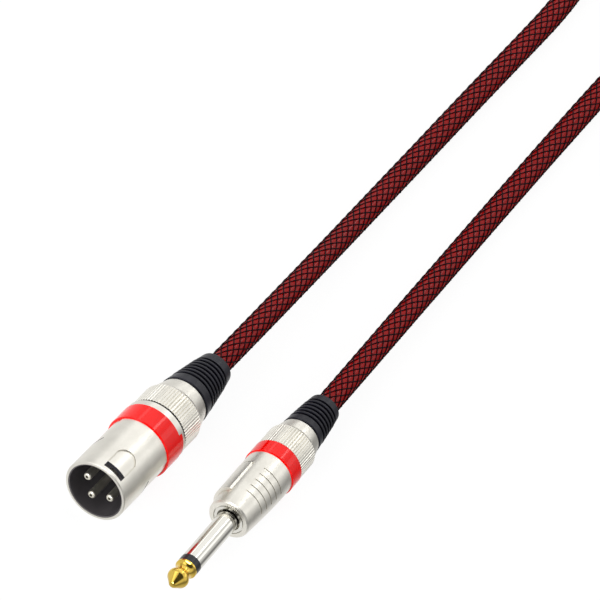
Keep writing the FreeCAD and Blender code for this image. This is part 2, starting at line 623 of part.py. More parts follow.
def xlr_insert():
    rear = XLR_FLOOR + XLR_FLOOR_THICKNESS
    outer = XLR_BORE_R - SEAT_GAP
    spring_rear = XLR_SPRING_FRONT + XLR_SPRING_WIDTH
    body = ring_of([
        (XLR_LIP, outer - XLR_LINER_WALL), (XLR_FLOOR, outer - XLR_LINER_WALL), (XLR_FLOOR, 0), (rear, 0),
        (rear, outer), (spring_rear, outer), (spring_rear, XLR_SPRING_SEAT_R),
        (XLR_SPRING_FRONT, XLR_SPRING_SEAT_R), (XLR_SPRING_FRONT, outer), (XLR_LIP, outer),
    ])
    body = body.cut(xlr_window(XLR_WINDOW_PLAY))
    for x, z in xlr_pin_places().values():
        body = body.cut(rod(XLR_FLOOR, rear, XLR_PIN_SHANK_R + SEAT_GAP, x, z))
    return body.removeSplitter()


def xlr_ground_spring():
    """Open earth ring that bridges the insert and the shell."""
    front = XLR_SPRING_FRONT + END_GAP
    rear = XLR_SPRING_FRONT + XLR_SPRING_WIDTH - END_GAP
    half = XLR_SPRING_OPENING / 2
    return sector(front, rear, XLR_BORE_R - SEAT_GAP, XLR_SPRING_SEAT_R + SEAT_GAP, half, 360 - half)


def xlr_pin(x, z):
    """Turned pin with a hollow tip, a collar behind the insert and a solder cup."""
    insert_rear = XLR_FLOOR + XLR_FLOOR_THICKNESS
    tail = insert_rear + XLR_PIN_TAIL
    tip = XLR_PIN_RECESS
    corner = XLR_PIN_ROUND * (1 - math.sqrt(0.5))
    body = ring_of([
        (tip, 0), (tail, 0), (tail, XLR_PIN_R), (insert_rear + XLR_COLLAR, XLR_PIN_R),
        (insert_rear + XLR_COLLAR, XLR_COLLAR_R), (insert_rear, XLR_COLLAR_R), (insert_rear, XLR_PIN_SHANK_R),
        (XLR_FLOOR, XLR_PIN_SHANK_R), (XLR_FLOOR, XLR_PIN_R), (tip + XLR_PIN_ROUND, XLR_PIN_R),
        ((tip + corner, XLR_PIN_R - corner), (tip, XLR_PIN_R - XLR_PIN_ROUND)),
    ])
    body = body.cut(rod(tip, tip + XLR_PIN_HOLE, XLR_PIN_HOLE_R)).cut(rod(tail - XLR_CUP, tail, XLR_CUP_R))
    body.translate(V(x, 0, z))
    return body


def xlr_chuck_front():
    return XLR_FLOOR + XLR_FLOOR_THICKNESS


def xlr_jacket_end():
    return xlr_chuck_front() + XLR_SOLDER_SPACE


def xlr_chuck():
    return collet(xlr_chuck_front(), xlr_jacket_end() - CORD_STOP, xlr_chuck_rear(), XLR_CHUCK_R, XLR_CHUCK_REAR_R,
                  XLR_CHUCK_CONE, XLR_CHUCK_BORE_R)


def xlr_nut_front():
    return XLR_FRONT + XLR_RING_WIDTH + XLR_RIM_WIDTH + XLR_NUT_GAP


def xlr_nut_rear():
    return xlr_nut_front() + XLR_NUT_KNURL + XLR_NUT_BAND


def xlr_chuck_rear():
    """The boot's flange fits between the collet and the nut's lip."""
    return xlr_nut_rear() - XLR_NUT_LIP - XLR_FLANGE - 3 * END_GAP


def xlr_nut():
    rear = xlr_chuck_rear()
    return nut(xlr_nut_front(), (XLR_NUT_R, XLR_NUT_BAND_R, XLR_NUT_REAR_R), XLR_NUT_KNURL, XLR_NUT_SHOULDER,
               XLR_NUT_BAND, XLR_FLUTES, XLR_BORE_R - RUNNING_GAP,
               (XLR_CHUCK_R, XLR_CHUCK_REAR_R, rear - XLR_CHUCK_CONE, rear), XLR_NUT_LIP, XLR_NUT_MOUTH_R,
               XLR_FLANGE_R)


def xlr_boot():
    return boot(xlr_chuck_rear() + END_GAP, xlr_nut_rear(), XLR_NUT_LIP, XLR_FLANGE_R, XLR_NUT_MOUTH_R,
                XLR_BOOT_LENGTH, XLR_BOOT_R, XLR_BOOT_REAR_R, XLR_BOOT_COLLAR, XLR_BOOT_TAIL, XLR_BOOT_RIBS)


def cord_core(jacket_end):
    return rod(jacket_end - CORE_BARED, jacket_end, CORE_R)


def xlr_leads():
    """Hot lead to pin 2, screen to pin 1, and a link from pin 1 to pin 3."""
    places = xlr_pin_places()
    cup_floor = XLR_FLOOR + XLR_FLOOR_THICKNESS + XLR_PIN_TAIL - XLR_CUP
    cup_mouth = cup_floor + XLR_CUP
    core_end = xlr_jacket_end() - CORE_BARED
    x2 = places[2][0]
    hot, _ = cord_along("xlr_hot_lead", [
        (0, core_end, 0), (0, core_end - LEAD_STRAIGHT, 0), (x2, cup_mouth + LEAD_STRAIGHT, 0),
        (x2, cup_floor + END_GAP, 0),
    ], LEAD_R)
    x1 = places[1][0]
    beside_core = -(CORE_R + LEAD_R + LEAD_GAP)
    shield, _ = cord_along("xlr_shield_lead", [
        (beside_core, xlr_jacket_end(), 0), (beside_core, xlr_jacket_end() - CORE_BARED / 2, 0),
        (x1, cup_mouth + LEAD_STRAIGHT, 0), (x1, cup_floor + END_GAP, 0),
    ], LEAD_R)
    level = (cup_floor + cup_mouth) / 2
    start = V(places[1][0], level, places[1][1])
    way = V(places[3][0], level, places[3][1]) - start
    link = Part.makeCylinder(LINK_R, way.Length, start, way)
    for number in (1, 3):
        x, z = places[number]
        link = link.cut(rod(cup_floor, cup_mouth, XLR_PIN_R, x, z))
    return {"xlr_hot_lead": hot, "xlr_shield_lead": shield, "xlr_ground_link": link}


# Jack plug
def jack_barrel_outline(shrink, rear):
    """Outline of the barrel's outside, drawn in by shrink."""
    return [
        (0, 0), (rear, 0), (rear, JACK_BARREL_R - shrink), (JACK_TAPER_END, JACK_BARREL_R - shrink),
        ((JACK_TAPER_END / 2, (JACK_BARREL_R + JACK_FACE_R) / 2 + JACK_TAPER_BULGE - shrink),
         (JACK_FACE_BEVEL, JACK_FACE_R - shrink)),
        (0, JACK_FACE_R - JACK_FACE_BEVEL - shrink),
    ]


def jack_pad_inner_x():
    """Where the ledges along the pad end, so that each is JACK_PAD_LEDGE wide."""
    return JACK_PAD_LEDGE - math.sqrt(JACK_PAD_R ** 2 - JACK_PAD_HALF ** 2)


def jack_pad():
    """The raised pad: the barrel's full radius, left standing where the taper is cut round it."""
    slab = block((-JACK_PAD_R, jack_pad_inner_x()), (JACK_PAD_FRONT, JACK_PAD_REAR), (-JACK_PAD_HALF, JACK_PAD_HALF))
    return slab.common(tube(JACK_PAD_FRONT, JACK_PAD_REAR, JACK_PAD_R, (JACK_BORE_R + JACK_FACE_R) / 2))


def jack_pad_cuts():
    """Flat ledges along the pad's two edges, and a line behind it."""
    beside = block((-JACK_BARREL_R - CUT_MARGIN, jack_pad_inner_x()), (JACK_PAD_FRONT, JACK_PAD_REAR),
                   (JACK_PAD_HALF, JACK_BARREL_R))
    below = block((-JACK_BARREL_R - CUT_MARGIN, jack_pad_inner_x()), (JACK_PAD_FRONT, JACK_PAD_REAR),
                  (-JACK_BARREL_R, -JACK_PAD_HALF))
    short = JACK_PAD_HALF - JACK_PAD_GROOVE
    behind = block((-JACK_BARREL_R - CUT_MARGIN, jack_pad_inner_x()), (JACK_PAD_REAR, JACK_PAD_REAR + JACK_PAD_GROOVE),
                   (-short, short))
    return beside.fuse([below, behind.cut(rod(0, JACK_BARREL, JACK_BARREL_R - JACK_PAD_GROOVE))])


def jack_barrel():
    rear = JACK_BARREL + JACK_RING_WIDTH
    body = ring_of(jack_barrel_outline(0, JACK_BARREL)).fuse(rod(JACK_BARREL, rear - END_GAP, JACK_RING_SEAT_R))
    bore = ring_of([
        (0, 0), (rear, 0), (rear, JACK_THREAD_R), (rear - JACK_THREAD, JACK_THREAD_R),
        (rear - JACK_THREAD, JACK_BORE_R), (JACK_FRONT_WALL, JACK_BORE_R),
        (JACK_FRONT_WALL, JACK_BUSH_R + SEAT_GAP), (0, JACK_BUSH_R + SEAT_GAP),
    ])
    body = body.cut(bore)
    body = body.fuse(jack_pad()).cut(jack_pad_cuts())
    skin = ring_of(jack_barrel_outline(-CUT_MARGIN, JACK_BARREL)).cut(
        ring_of(jack_barrel_outline(JACK_GROOVE_DEPTH, JACK_BARREL)))
    for side in (0, JACK_GROOVE_UNDER):
        for index in range(JACK_GROOVES):
            at = JACK_GROOVE_FRONT + index * JACK_GROOVE_PITCH
            slice_ = sector(at - JACK_GROOVE_WIDTH / 2, at + JACK_GROOVE_WIDTH / 2, JACK_BARREL_R + CUT_MARGIN,
                            JACK_BORE_R, JACK_GROOVE_FROM + side, JACK_GROOVE_TO + side)
            body = body.cut(slice_.common(skin))
    return body.removeSplitter()


def jack_color_ring():
    front, rear = JACK_BARREL + END_GAP / 2, JACK_BARREL + JACK_RING_WIDTH - END_GAP
    inner = JACK_RING_SEAT_R + SEAT_GAP
    return ring_of([
        (front, inner), (front, JACK_RING_R - RING_BEVEL), (front + RING_BEVEL, JACK_RING_R),
        (rear - EDGE_BREAK, JACK_RING_R), (rear, JACK_RING_R - EDGE_BREAK), (rear, inner),
    ])


def jack_front_bush():
    return ring_of([
        (0, JACK_BUSH_BORE_R), (0, JACK_BUSH_R - JACK_BUSH_GROOVE), (JACK_BUSH_GROOVE_DEPTH, JACK_BUSH_R - JACK_BUSH_GROOVE),
        (JACK_BUSH_GROOVE_DEPTH, JACK_BUSH_R),
        (JACK_FRONT_WALL, JACK_BUSH_R), (JACK_FRONT_WALL, JACK_BUSH_BORE_R),
    ])


def jack_lug_front():
    return JACK_FRONT_WALL + JACK_FLANGE


def jack_washer_front():
    return jack_lug_front() + JACK_LUG + END_GAP


def jack_sleeve():
    flange_rear = jack_lug_front()
    spigot_rear = flange_rear + JACK_LUG
    return ring_of([
        (-JACK_SLEEVE, JACK_SLEEVE_BORE_R), (-JACK_SLEEVE, JACK_SHAFT_R), (0, JACK_SHAFT_R), (0, JACK_SHANK_R),
        (JACK_FRONT_WALL, JACK_SHANK_R),
        (JACK_FRONT_WALL, JACK_FLANGE_R), (flange_rear, JACK_FLANGE_R), (flange_rear, JACK_SPIGOT_R),
        (spigot_rear, JACK_SPIGOT_R), (spigot_rear, JACK_SLEEVE_BORE_R),
    ])


def jack_insulator_ring():
    front = -JACK_SLEEVE - JACK_INSULATOR
    return tube(front, -JACK_SLEEVE, JACK_SHAFT_R, JACK_ROD_R + SEAT_GAP)


def jack_tip():
    """Cone, ball and neck of the tip contact, with a full-width flange behind the neck."""
    rear = -JACK_SLEEVE - JACK_INSULATOR
    front = rear - JACK_TIP_LENGTH
    hole_r = JACK_ROD_R + SEAT_GAP

    def point(place):
        return (front + place[0], place[1])

    return ring_of([
        (front, 0), (point(JACK_NOSE_MID), point(JACK_NOSE_END)),
        point(JACK_CONE_END), (point(JACK_BALL), point(JACK_BALL_REAR)),
        (point(JACK_NECK), point(JACK_FLARE_END)),
        (rear, JACK_SHAFT_R), (rear, hole_r), (rear - JACK_TIP_HOLE, hole_r), (rear - JACK_TIP_HOLE, 0),
    ])


def jack_tip_rod():
    front = -JACK_SLEEVE - JACK_INSULATOR - JACK_TIP_HOLE + END_GAP
    lug_rear = jack_washer_front() + JACK_WASHER + JACK_LUG
    return ring_of([
        (front, 0), (front, JACK_ROD_R), (lug_rear, JACK_ROD_R), (lug_rear, JACK_RIVET_R),
        (lug_rear + JACK_RIVET / 2, JACK_RIVET_R), (lug_rear + JACK_RIVET, JACK_RIVET_R / 2),
        (lug_rear + JACK_RIVET, 0),
    ])


def jack_rod_insulator():
    return tube(-JACK_SLEEVE, jack_washer_front(), JACK_SLEEVE_BORE_R - 2 * SEAT_GAP, JACK_ROD_R + SEAT_GAP)


def jack_ground_lug():
    """Solder lug: a washer on the sleeve's spigot and a long tongue along the barrel's floor."""
    front = jack_lug_front()
    washer = tube(front, front + JACK_LUG, JACK_LUG_R, JACK_SPIGOT_R + SEAT_GAP)
    half = JACK_LUG_WIDTH / 2
    floor = -(JACK_LUG_R - JACK_LUG / 2)
    tongue = block((-half, half), (front, front + JACK_LUG_TONGUE), (floor, floor + JACK_LUG))
    tongue = tongue.common(rod(front, front + JACK_LUG_TONGUE, JACK_LUG_R))
    return washer.fuse(tongue).removeSplitter()


def jack_lug_washer():
    front = jack_washer_front()
    return tube(front, front + JACK_WASHER, JACK_WASHER_R, JACK_ROD_R + SEAT_GAP)


def jack_tip_lug():
    """Small solder lug under the rivet, with a tongue bent back over the washer."""
    front = jack_washer_front() + JACK_WASHER
    washer = tube(front, front + JACK_LUG, JACK_TIP_LUG_R, JACK_ROD_R + SEAT_GAP)
    half = JACK_TIP_TONGUE_WIDTH / 2
    low = JACK_RIVET_R + LEAD_GAP
    tongue = block((-half, half), (front, front + JACK_TIP_TONGUE), (low, low + JACK_LUG))
    return washer.fuse(tongue).removeSplitter()


def jack_insulating_tube():
    outer = JACK_BORE_R - SEAT_GAP
    return tube(jack_lug_front(), jack_chuck_front(), outer, outer - JACK_TUBE_WALL)


def jack_chuck_front():
    return jack_lug_front() + JACK_TUBE


def jack_chuck_rear():
    """The boot's flange fits between the collet and the nut's lip."""
    return jack_nut_rear() - JACK_NUT_LIP - JACK_FLANGE_OF_BOOT - 3 * END_GAP


def jack_jacket_end():
    return jack_chuck_front() + JACK_SOLDER_SPACE


def jack_chuck():
    return collet(jack_chuck_front(), jack_jacket_end() - CORD_STOP, jack_chuck_rear(), JACK_CHUCK_R, JACK_CHUCK_REAR_R,
                  JACK_CHUCK_CONE, JACK_CHUCK_BORE_R, (JACK_CHUCK_FLANGE_R, JACK_CHUCK_FLANGE))


def jack_nut_front():
    return JACK_BARREL + JACK_RING_WIDTH + JACK_NUT_GAP


def jack_nut_rear():
    return jack_nut_front() + JACK_NUT_KNURL + JACK_NUT_BAND


def jack_nut():
    rear = jack_chuck_rear()
    return nut(jack_nut_front(), (JACK_NUT_R, JACK_NUT_BAND_R, JACK_NUT_REAR_R), JACK_NUT_KNURL,
               JACK_NUT_SHOULDER, JACK_NUT_BAND, JACK_FLUTES, JACK_THREAD_R - RUNNING_GAP,
               (JACK_CHUCK_R, JACK_CHUCK_REAR_R, rear - JACK_CHUCK_CONE, rear), JACK_NUT_LIP,
               JACK_NUT_MOUTH_R, JACK_FLANGE_OF_BOOT_R)


def jack_boot():
    return boot(jack_chuck_rear() + END_GAP, jack_nut_rear(), JACK_NUT_LIP, JACK_FLANGE_OF_BOOT_R,
                JACK_NUT_MOUTH_R, JACK_BOOT_LENGTH, JACK_BOOT_R, JACK_BOOT_REAR_R, JACK_BOOT_COLLAR,
                JACK_BOOT_TAIL, JACK_BOOT_RIBS)


def jack_leads():
    """Hot lead to the tip's lug and screen to the long lug."""
    core_end = jack_jacket_end() - CORE_BARED
    lug_end = jack_washer_front() + JACK_WASHER + JACK_TIP_TONGUE
    top = JACK_RIVET_R + LEAD_GAP + JACK_LUG + LEAD_R + SEAT_GAP
    hot, _ = cord_along("jack_hot_lead", [
        (0, core_end, 0), (0, core_end - 2 * LEAD_STRAIGHT, 0), (0, lug_end + LEAD_STRAIGHT, top),
        (0, lug_end - LEAD_LAP, top),
    ], LEAD_R)
    tongue_top = -(JACK_LUG_R - JACK_LUG / 2) + JACK_LUG
    low = tongue_top + LEAD_R + SEAT_GAP
    tongue_end = jack_lug_front() + JACK_LUG_TONGUE
    under_core = -(CORE_R + LEAD_R + LEAD_GAP)
    shield, _ = cord_along("jack_shield_lead", [
        (0, jack_jacket_end(), under_core), (0, jack_jacket_end() - CORE_BARED, under_core),
        (0, tongue_end + LEAD_STRAIGHT, low), (0, tongue_end - LEAD_LAP, low),
    ], LEAD_R)
    return {"jack_hot_lead": hot, "jack_shield_lead": shield}


# Placing and writing
XLR_PLACE = FreeCAD.Placement(V(XLR_X, XLR_Y, XLR_RING_R), FreeCAD.Rotation(V(0, 0, 1), 0))
JACK_PLACE = FreeCAD.Placement(V(JACK_X, JACK_Y, JACK_RING_R), FreeCAD.Rotation(V(0, 0, 1), JACK_TURN))


def xlr_parts():
    parts = {
        "xlr_shell": xlr_shell(),
        "xlr_insert": xlr_insert(),
        "xlr_ground_spring": xlr_ground_spring(),
        "xlr_color_ring": xlr_color_ring(),
        "xlr_chuck": xlr_chuck(),
        "xlr_nut": xlr_nut(),
        "xlr_boot": xlr_boot(),
        "xlr_cord_core": cord_core(xlr_jacket_end()),
    }
    for number, (x, z) in xlr_pin_places().items():
        parts[f"xlr_pin_{number}"] = xlr_pin(x, z)
    parts.update(xlr_leads())
    return parts


def jack_parts():
    parts = {
        "jack_barrel": jack_barrel(),
        "jack_color_ring": jack_color_ring(),
        "jack_front_bush": jack_front_bush(),
        "jack_sleeve": jack_sleeve(),
        "jack_insulator_ring": jack_insulator_ring(),
        "jack_tip": jack_tip(),
        "jack_tip_rod": jack_tip_rod(),
        "jack_rod_insulator": jack_rod_insulator(),
        "jack_ground_lug": jack_ground_lug(),
        "jack_lug_washer": jack_lug_washer(),
        "jack_tip_lug": jack_tip_lug(),
        "jack_insulating_tube": jack_insulating_tube(),
        "jack_chuck": jack_chuck(),
        "jack_nut": jack_nut(),
        "jack_boot": jack_boot(),
        "jack_cord_core": cord_core(jack_jacket_end()),
    }
    parts.update(jack_leads())
    return parts


def cord_parts():
    """Two free stretches, the coil between them and its two ties."""
    edges, coil_end = coil_edges()
    wire = Part.Wire(edges)
    coil_start = V(COIL_X - COIL_OUTER_R, COIL_Y, COIL_Z)
    coil = piped(wire, CORD_R, coil_start, FORWARD)
    share = coil.Volume / (math.pi * CORD_R ** 2 * wire.Length)
    print(f"cord_coil: length {wire.Length:.1f} volume share {share:.4f} valid {coil.isValid()} "
          f"least gap to itself {least_gap(edges, CORD_R):.3f}")

    from_xlr = XLR_PLACE.multVec(V(0, xlr_jacket_end(), 0))
    xlr_straight_end = XLR_PLACE.multVec(V(0, xlr_nut_rear() + XLR_BOOT_LENGTH + CORD_STRAIGHT, 0))
    xlr_points = [tuple(from_xlr), tuple(xlr_straight_end), *XLR_ROUTE, tuple(coil_start)]
    from_jack = JACK_PLACE.multVec(V(0, jack_jacket_end(), 0))
    jack_straight_end = JACK_PLACE.multVec(V(0, jack_nut_rear() + JACK_BOOT_LENGTH + CORD_STRAIGHT, 0))
    jack_points = [tuple(from_jack), tuple(jack_straight_end), *JACK_ROUTE, tuple(coil_end)]
    cord_from_xlr, xlr_length = cord_along("cord_from_xlr", xlr_points)
    cord_from_jack, jack_length = cord_along("cord_from_jack", jack_points)
    print(f"cord length in all: {xlr_length + jack_length + wire.Length:.1f}")

    half_pitch = COIL_PITCH / 2
    near = tie(-1, COIL_INNER_R + half_pitch, COIL_OUTER_R - half_pitch, half_pitch)
    far = tie(1, COIL_INNER_R, COIL_OUTER_R, 0.0)
    return {
        "cord_from_xlr": cord_from_xlr,
        "cord_from_jack": cord_from_jack,
        "cord_coil": coil,
        "coil_tie_near": near,
        "coil_tie_far": far,
    }


def main():
    os.makedirs("parts", exist_ok=True)
    placed = {}
    for parts, place in ((xlr_parts(), XLR_PLACE), (jack_parts(), JACK_PLACE)):
        for name, shape in parts.items():
            shape.Placement = place.multiply(shape.Placement)
            placed[name] = shape
    box = FreeCAD.BoundBox()
    for shape in placed.values():
        box.add(shape.optimalBoundingBox(False))
    print(f"plugs: x {box.XMin:.3f} {box.XMax:.3f} y {box.YMin:.3f} {box.YMax:.3f} z {box.ZMin:.3f} {box.ZMax:.3f}")
    placed.update(cord_parts())
    for name, shape in placed.items():
        solids = len(shape.Solids)
        if solids != 1 or not shape.isValid():
            print(f"CHECK {name}: {solids} solids, valid {shape.isValid()}")
        shape.exportStep(f"parts/{name}.step")
    print(len(placed), "nodes")


main()
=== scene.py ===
"""Instrument cable: an XLR plug and a 6.35 mm jack plug on one netted cord, wound into a tied coil.

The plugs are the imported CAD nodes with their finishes. The cord's jacket, the net over it and the
coil's straps are made here, over the CAD solids that they stand for. Lengths are in metres.
"""

import logging
import math
from dataclasses import dataclass, field
from enum import Enum

import bpy
from mathutils import Matrix, Vector


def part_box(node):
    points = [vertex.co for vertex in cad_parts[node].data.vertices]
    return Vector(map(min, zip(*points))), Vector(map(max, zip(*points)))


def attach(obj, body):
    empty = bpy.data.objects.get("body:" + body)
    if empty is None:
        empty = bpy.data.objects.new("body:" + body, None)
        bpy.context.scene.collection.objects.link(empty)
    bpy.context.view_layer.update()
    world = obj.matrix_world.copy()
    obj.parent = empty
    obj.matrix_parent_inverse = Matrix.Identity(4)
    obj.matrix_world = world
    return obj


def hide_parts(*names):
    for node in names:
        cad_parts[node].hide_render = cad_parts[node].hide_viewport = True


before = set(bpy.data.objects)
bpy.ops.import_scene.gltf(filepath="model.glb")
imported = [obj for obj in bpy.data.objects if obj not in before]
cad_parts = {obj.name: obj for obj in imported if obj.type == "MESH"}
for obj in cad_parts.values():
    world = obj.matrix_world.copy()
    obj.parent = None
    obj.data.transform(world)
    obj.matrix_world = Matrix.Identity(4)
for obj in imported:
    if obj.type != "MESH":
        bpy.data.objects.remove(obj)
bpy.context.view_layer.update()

LOG = logging.getLogger("instrument_cable")
MM = 0.001
XLR_AXIS = (-14.18 * MM, 9.9 * MM)  # X and Z of the XLR plug's axis, which runs along Y
Point = tuple[float, float, float]


# Small helpers
def linear(hex_colour: str) -> tuple[float, float, float, float]:
    """Turns an sRGB hex value into the linear colour that a shader takes.

    Args:
        hex_colour: Six hex digits with a leading #.

    Returns:
        Linear red, green and blue, and an alpha of 1.
    """
    channels = [int(hex_colour[i : i + 2], 16) / 255 for i in (1, 3, 5)]
    red, green, blue = (c / 12.92 if c <= 0.04045 else ((c + 0.055) / 1.055) ** 2.4 for c in channels)
    return red, green, blue, 1.0


def add_node(tree: bpy.types.NodeTree, kind: str, inputs: dict | None = None, **settings: object) -> bpy.types.Node:
    """Adds a node, with its settings, and its inputs set or linked.

    Args:
        tree: The node tree that gets the node.
        kind: The node's bl_idname.
        inputs: Input name or index to a value, or to the output socket that feeds it.
        **settings: Attributes of the node, such as operation or data_type.

    Returns:
        The new node.
    """
    node = tree.nodes.new(kind)
    for name, value in settings.items():
        setattr(node, name, value)
    for key, value in (inputs or {}).items():
        if isinstance(value, bpy.types.NodeSocket):
            tree.links.new(value, node.inputs[key])
        else:
            node.inputs[key].default_value = value
    return node


def skin(
    rows: int, width: int, first: int = 0, closed: bool = True, corner: int = 0
) -> list[tuple[int, ...]]:
    """Lists the faces over rows of points, which stand one after the other like the turns of a sleeve.

    They point outwards where each row runs clockwise, as seen along the rows.

    Args:
        rows: How many rows there are.
        width: Points in a row, which is a closed loop.
        first: Number of the first point.
        closed: Whether the last row joins the first; if not, both ends get a cap.
        corner: The corner that each face starts from. A bent face is split from there.

    Returns:
        The faces, as numbers of points.
    """
    faces: list[tuple[int, ...]] = []
    for row in range(rows if closed else rows - 1):
        here, following = first + row * width, first + (row + 1) % rows * width
        for i in range(width):
            after = (i + 1) % width
            face = (here + i, here + after, following + after, following + i)
            faces.append(face[corner:] + face[:corner])
    if not closed:
        last = first + (rows - 1) * width
        faces += [tuple(range(first, first + width))[::-1], tuple(range(last, last + width))]
    return faces


def mesh_object(name: str, points: list[Point], faces: list[tuple[int, ...]]) -> bpy.types.Object:
    """Makes a flat-shaded mesh object at the origin from points and faces.

    Args:
        name: The object's and the mesh's name.
        points: Its points, in metres.
        faces: Its faces, as numbers of points.

    Returns:
        The object, in the scene.
    """
    mesh = bpy.data.meshes.new(name)
    mesh.from_pydata([tuple(p) for p in points], [], faces)
    mesh.validate()
    mesh.shade_flat()
    obj = bpy.data.objects.new(name, mesh)
    bpy.context.scene.collection.objects.link(obj)
    return obj


def dress(obj: bpy.types.Object, material: bpy.types.Material) -> None:
    """Gives a whole object one material, whatever slots it came with."""
    obj.data.materials.clear()
    obj.data.materials.append(material)


# Finishes
class Along(Enum):
    """The direction that a finish's lines are turned about: the axis of the piece."""

    XLR_AXIS = 0.0
    JACK_AXIS = math.radians(2.53)


@dataclass(frozen=True)
class Finish:
    """A surface finish. Each kind adds its own pattern to the principled shader.

    Attributes:
        name: The material's name, after what the real one is.
        colour: Main colour, sRGB hex.
        second: Colour of its patches or low places, sRGB hex.
        roughness: Middle roughness.
        metallic: 1 for bare or plated metal.
        grain: Size of its finest pattern, in metres.
        relief: Height of that pattern, in metres.
        specular: Level of its clear reflections; 0.5 is plain plastic.
        patch: Size of the finest pattern over that of the patches.
        wander: Share by which the roughness goes up and down.
    """

    name: str
    colour: str
    second: str
    roughness: float
    metallic: float = 0.0
    grain: float = 0.4 * MM
    relief: float = 0.01 * MM
    specular: float = 0.5
    patch: float = 0.06
    wander: float = 0.15

    def material(self) -> bpy.types.Material:
        """Builds the node material.

        Returns:
            The material, with this finish's pattern.
        """
        material = bpy.data.materials.new(self.name)
        material.use_nodes = True
        tree = material.node_tree
        shader = tree.nodes["Principled BSDF"]
        shader.inputs["Metallic"].default_value = self.metallic
        shader.inputs["Specular IOR Level"].default_value = self.specular
        place = add_node(tree, "ShaderNodeTexCoord").outputs["Object"]
        self.pattern(tree, shader, place)
        return material

    def pattern(self, tree: bpy.types.NodeTree, shader: bpy.types.Node, place: bpy.types.NodeSocket) -> None:
        """Links colour, roughness and bump.

        Args:
            tree: The material's node tree.
            shader: Its principled shader.
            place: Object coordinates.
        """
        fine = add_node(tree, "ShaderNodeTexNoise", {"Vector": place, "Scale": 1 / self.grain, "Detail": 3.0})
        patches = add_node(
            tree, "ShaderNodeTexNoise", {"Vector": place, "Scale": self.patch / self.grain, "Detail": 4.0}
        )
        tone = add_node(
            tree,
            "ShaderNodeMapRange",
            {"Value": patches.outputs["Fac"], "From Min": 0.35, "From Max": 0.65},
        )
        self.lay(tree, shader, tone.outputs["Result"], fine.outputs["Fac"])

    def lay(
        self,
        tree: bpy.types.NodeTree,
        shader: bpy.types.Node,
        share: bpy.types.NodeSocket,
        height: bpy.types.NodeSocket,
    ) -> None:
        """Links both colours, a roughness that wanders with the fine pattern, and that pattern's bump.

        Args:
            tree: The material's node tree.
            shader: Its principled shader.
            share: How much of the second colour shows.
            height: Height of the fine pattern, a noise that seldom leaves 0.3 to 0.7.
        """
        mix = add_node(
            tree,
            "ShaderNodeMix",
            {0: share, 6: linear(self.colour), 7: linear(self.second)},
            data_type="RGBA",
        )
        rough = add_node(
            tree,
            "ShaderNodeMapRange",
            {
                "Value": height,
                "From Min": 0.3,
                "From Max": 0.7,
                "To Min": self.roughness * (1 - self.wander),
                "To Max": self.roughness * (1 + self.wander),
            },
        )
        bump = add_node(tree, "ShaderNodeBump", {"Height": height, "Distance": self.relief, "Strength": 1.0})
        tree.links.new(mix.outputs[2], shader.inputs["Base Color"])
        tree.links.new(rough.outputs["Result"], shader.inputs["Roughness"])
        tree.links.new(bump.outputs["Normal"], shader.inputs["Normal"])


@dataclass(frozen=True)
class TurnedFinish(Finish):
    """A metal turned on a lathe: fine rings round the piece's axis, over the grain.

    Attributes:
        along: The axis that it was turned about.
        ring: Spacing of the tool's marks, in metres.
        stretch: How fast the marks change across the axis, against along it.
        patch: As in Finish, for the smears between the two colours.
    """

    patch: float = 0.1
    along: Along = Along.XLR_AXIS
    ring: float = 0.5 * MM
    stretch: float = 0.02

    def pattern(self, tree: bpy.types.NodeTree, shader: bpy.types.Node, place: bpy.types.NodeSocket) -> None:
        """Links colour, roughness and the turned rings' bump. Args are those of Finish.pattern."""
        turned = add_node(
            tree,
            "ShaderNodeMapping",
            {
                "Vector": place,
                "Rotation": (0.0, 0.0, -self.along.value),
                "Scale": (self.stretch, 1.0, self.stretch),
            },
        )
        rings = add_node(
            tree, "ShaderNodeTexNoise", {"Vector": turned.outputs["Vector"], "Scale": 1 / self.ring, "Detail": 2.0}
        )
        smear = add_node(
            tree, "ShaderNodeTexNoise", {"Vector": place, "Scale": self.patch / self.grain, "Detail": 3.0}
        )
        self.lay(tree, shader, smear.outputs["Fac"], rings.outputs["Fac"])


@dataclass(frozen=True)
class WovenFinish(Finish):
    """A woven or knitted tape: warp and weft lines, with a fuzzy face.

    Attributes:
        warp: Size of the fuzz over that of a warp line.
        sheen: Of the fuzz, seen flat along the face.
        sheen_roughness: Of that sheen.
    """

    warp: float = 0.16
    sheen: float = 0.35
    sheen_roughness: float = 0.5

    def pattern(self, tree: bpy.types.NodeTree, shader: bpy.types.Node, place: bpy.types.NodeSocket) -> None:
        """Links colour, roughness and the weave's bump. Args are those of Finish.pattern."""
        warp = add_node(
            tree,
            "ShaderNodeTexWave",
            {"Vector": place, "Scale": self.warp / self.grain, "Distortion": 1.5, "Detail": 1.0},
            bands_direction="X",
        )
        fuzz = add_node(tree, "ShaderNodeTexNoise", {"Vector": place, "Scale": 1 / self.grain, "Detail": 5.0})
        height = add_node(
            tree,
            "ShaderNodeMath",
            {0: warp.outputs["Fac"], 1: fuzz.outputs["Fac"]},
            operation="MULTIPLY",
        )
        mix = add_node(
            tree,
            "ShaderNodeMix",
            {0: height.outputs["Value"], 6: linear(self.second), 7: linear(self.colour)},
            data_type="RGBA",
        )
        bump = add_node(
            tree, "ShaderNodeBump", {"Height": height.outputs["Value"], "Distance": self.relief, "Strength": 1.0}
        )
        shader.inputs["Roughness"].default_value = self.roughness
        shader.inputs["Sheen Weight"].default_value = self.sheen
        shader.inputs["Sheen Roughness"].default_value = self.sheen_roughness
        tree.links.new(mix.outputs[2], shader.inputs["Base Color"])
        tree.links.new(bump.outputs["Normal"], shader.inputs["Normal"])


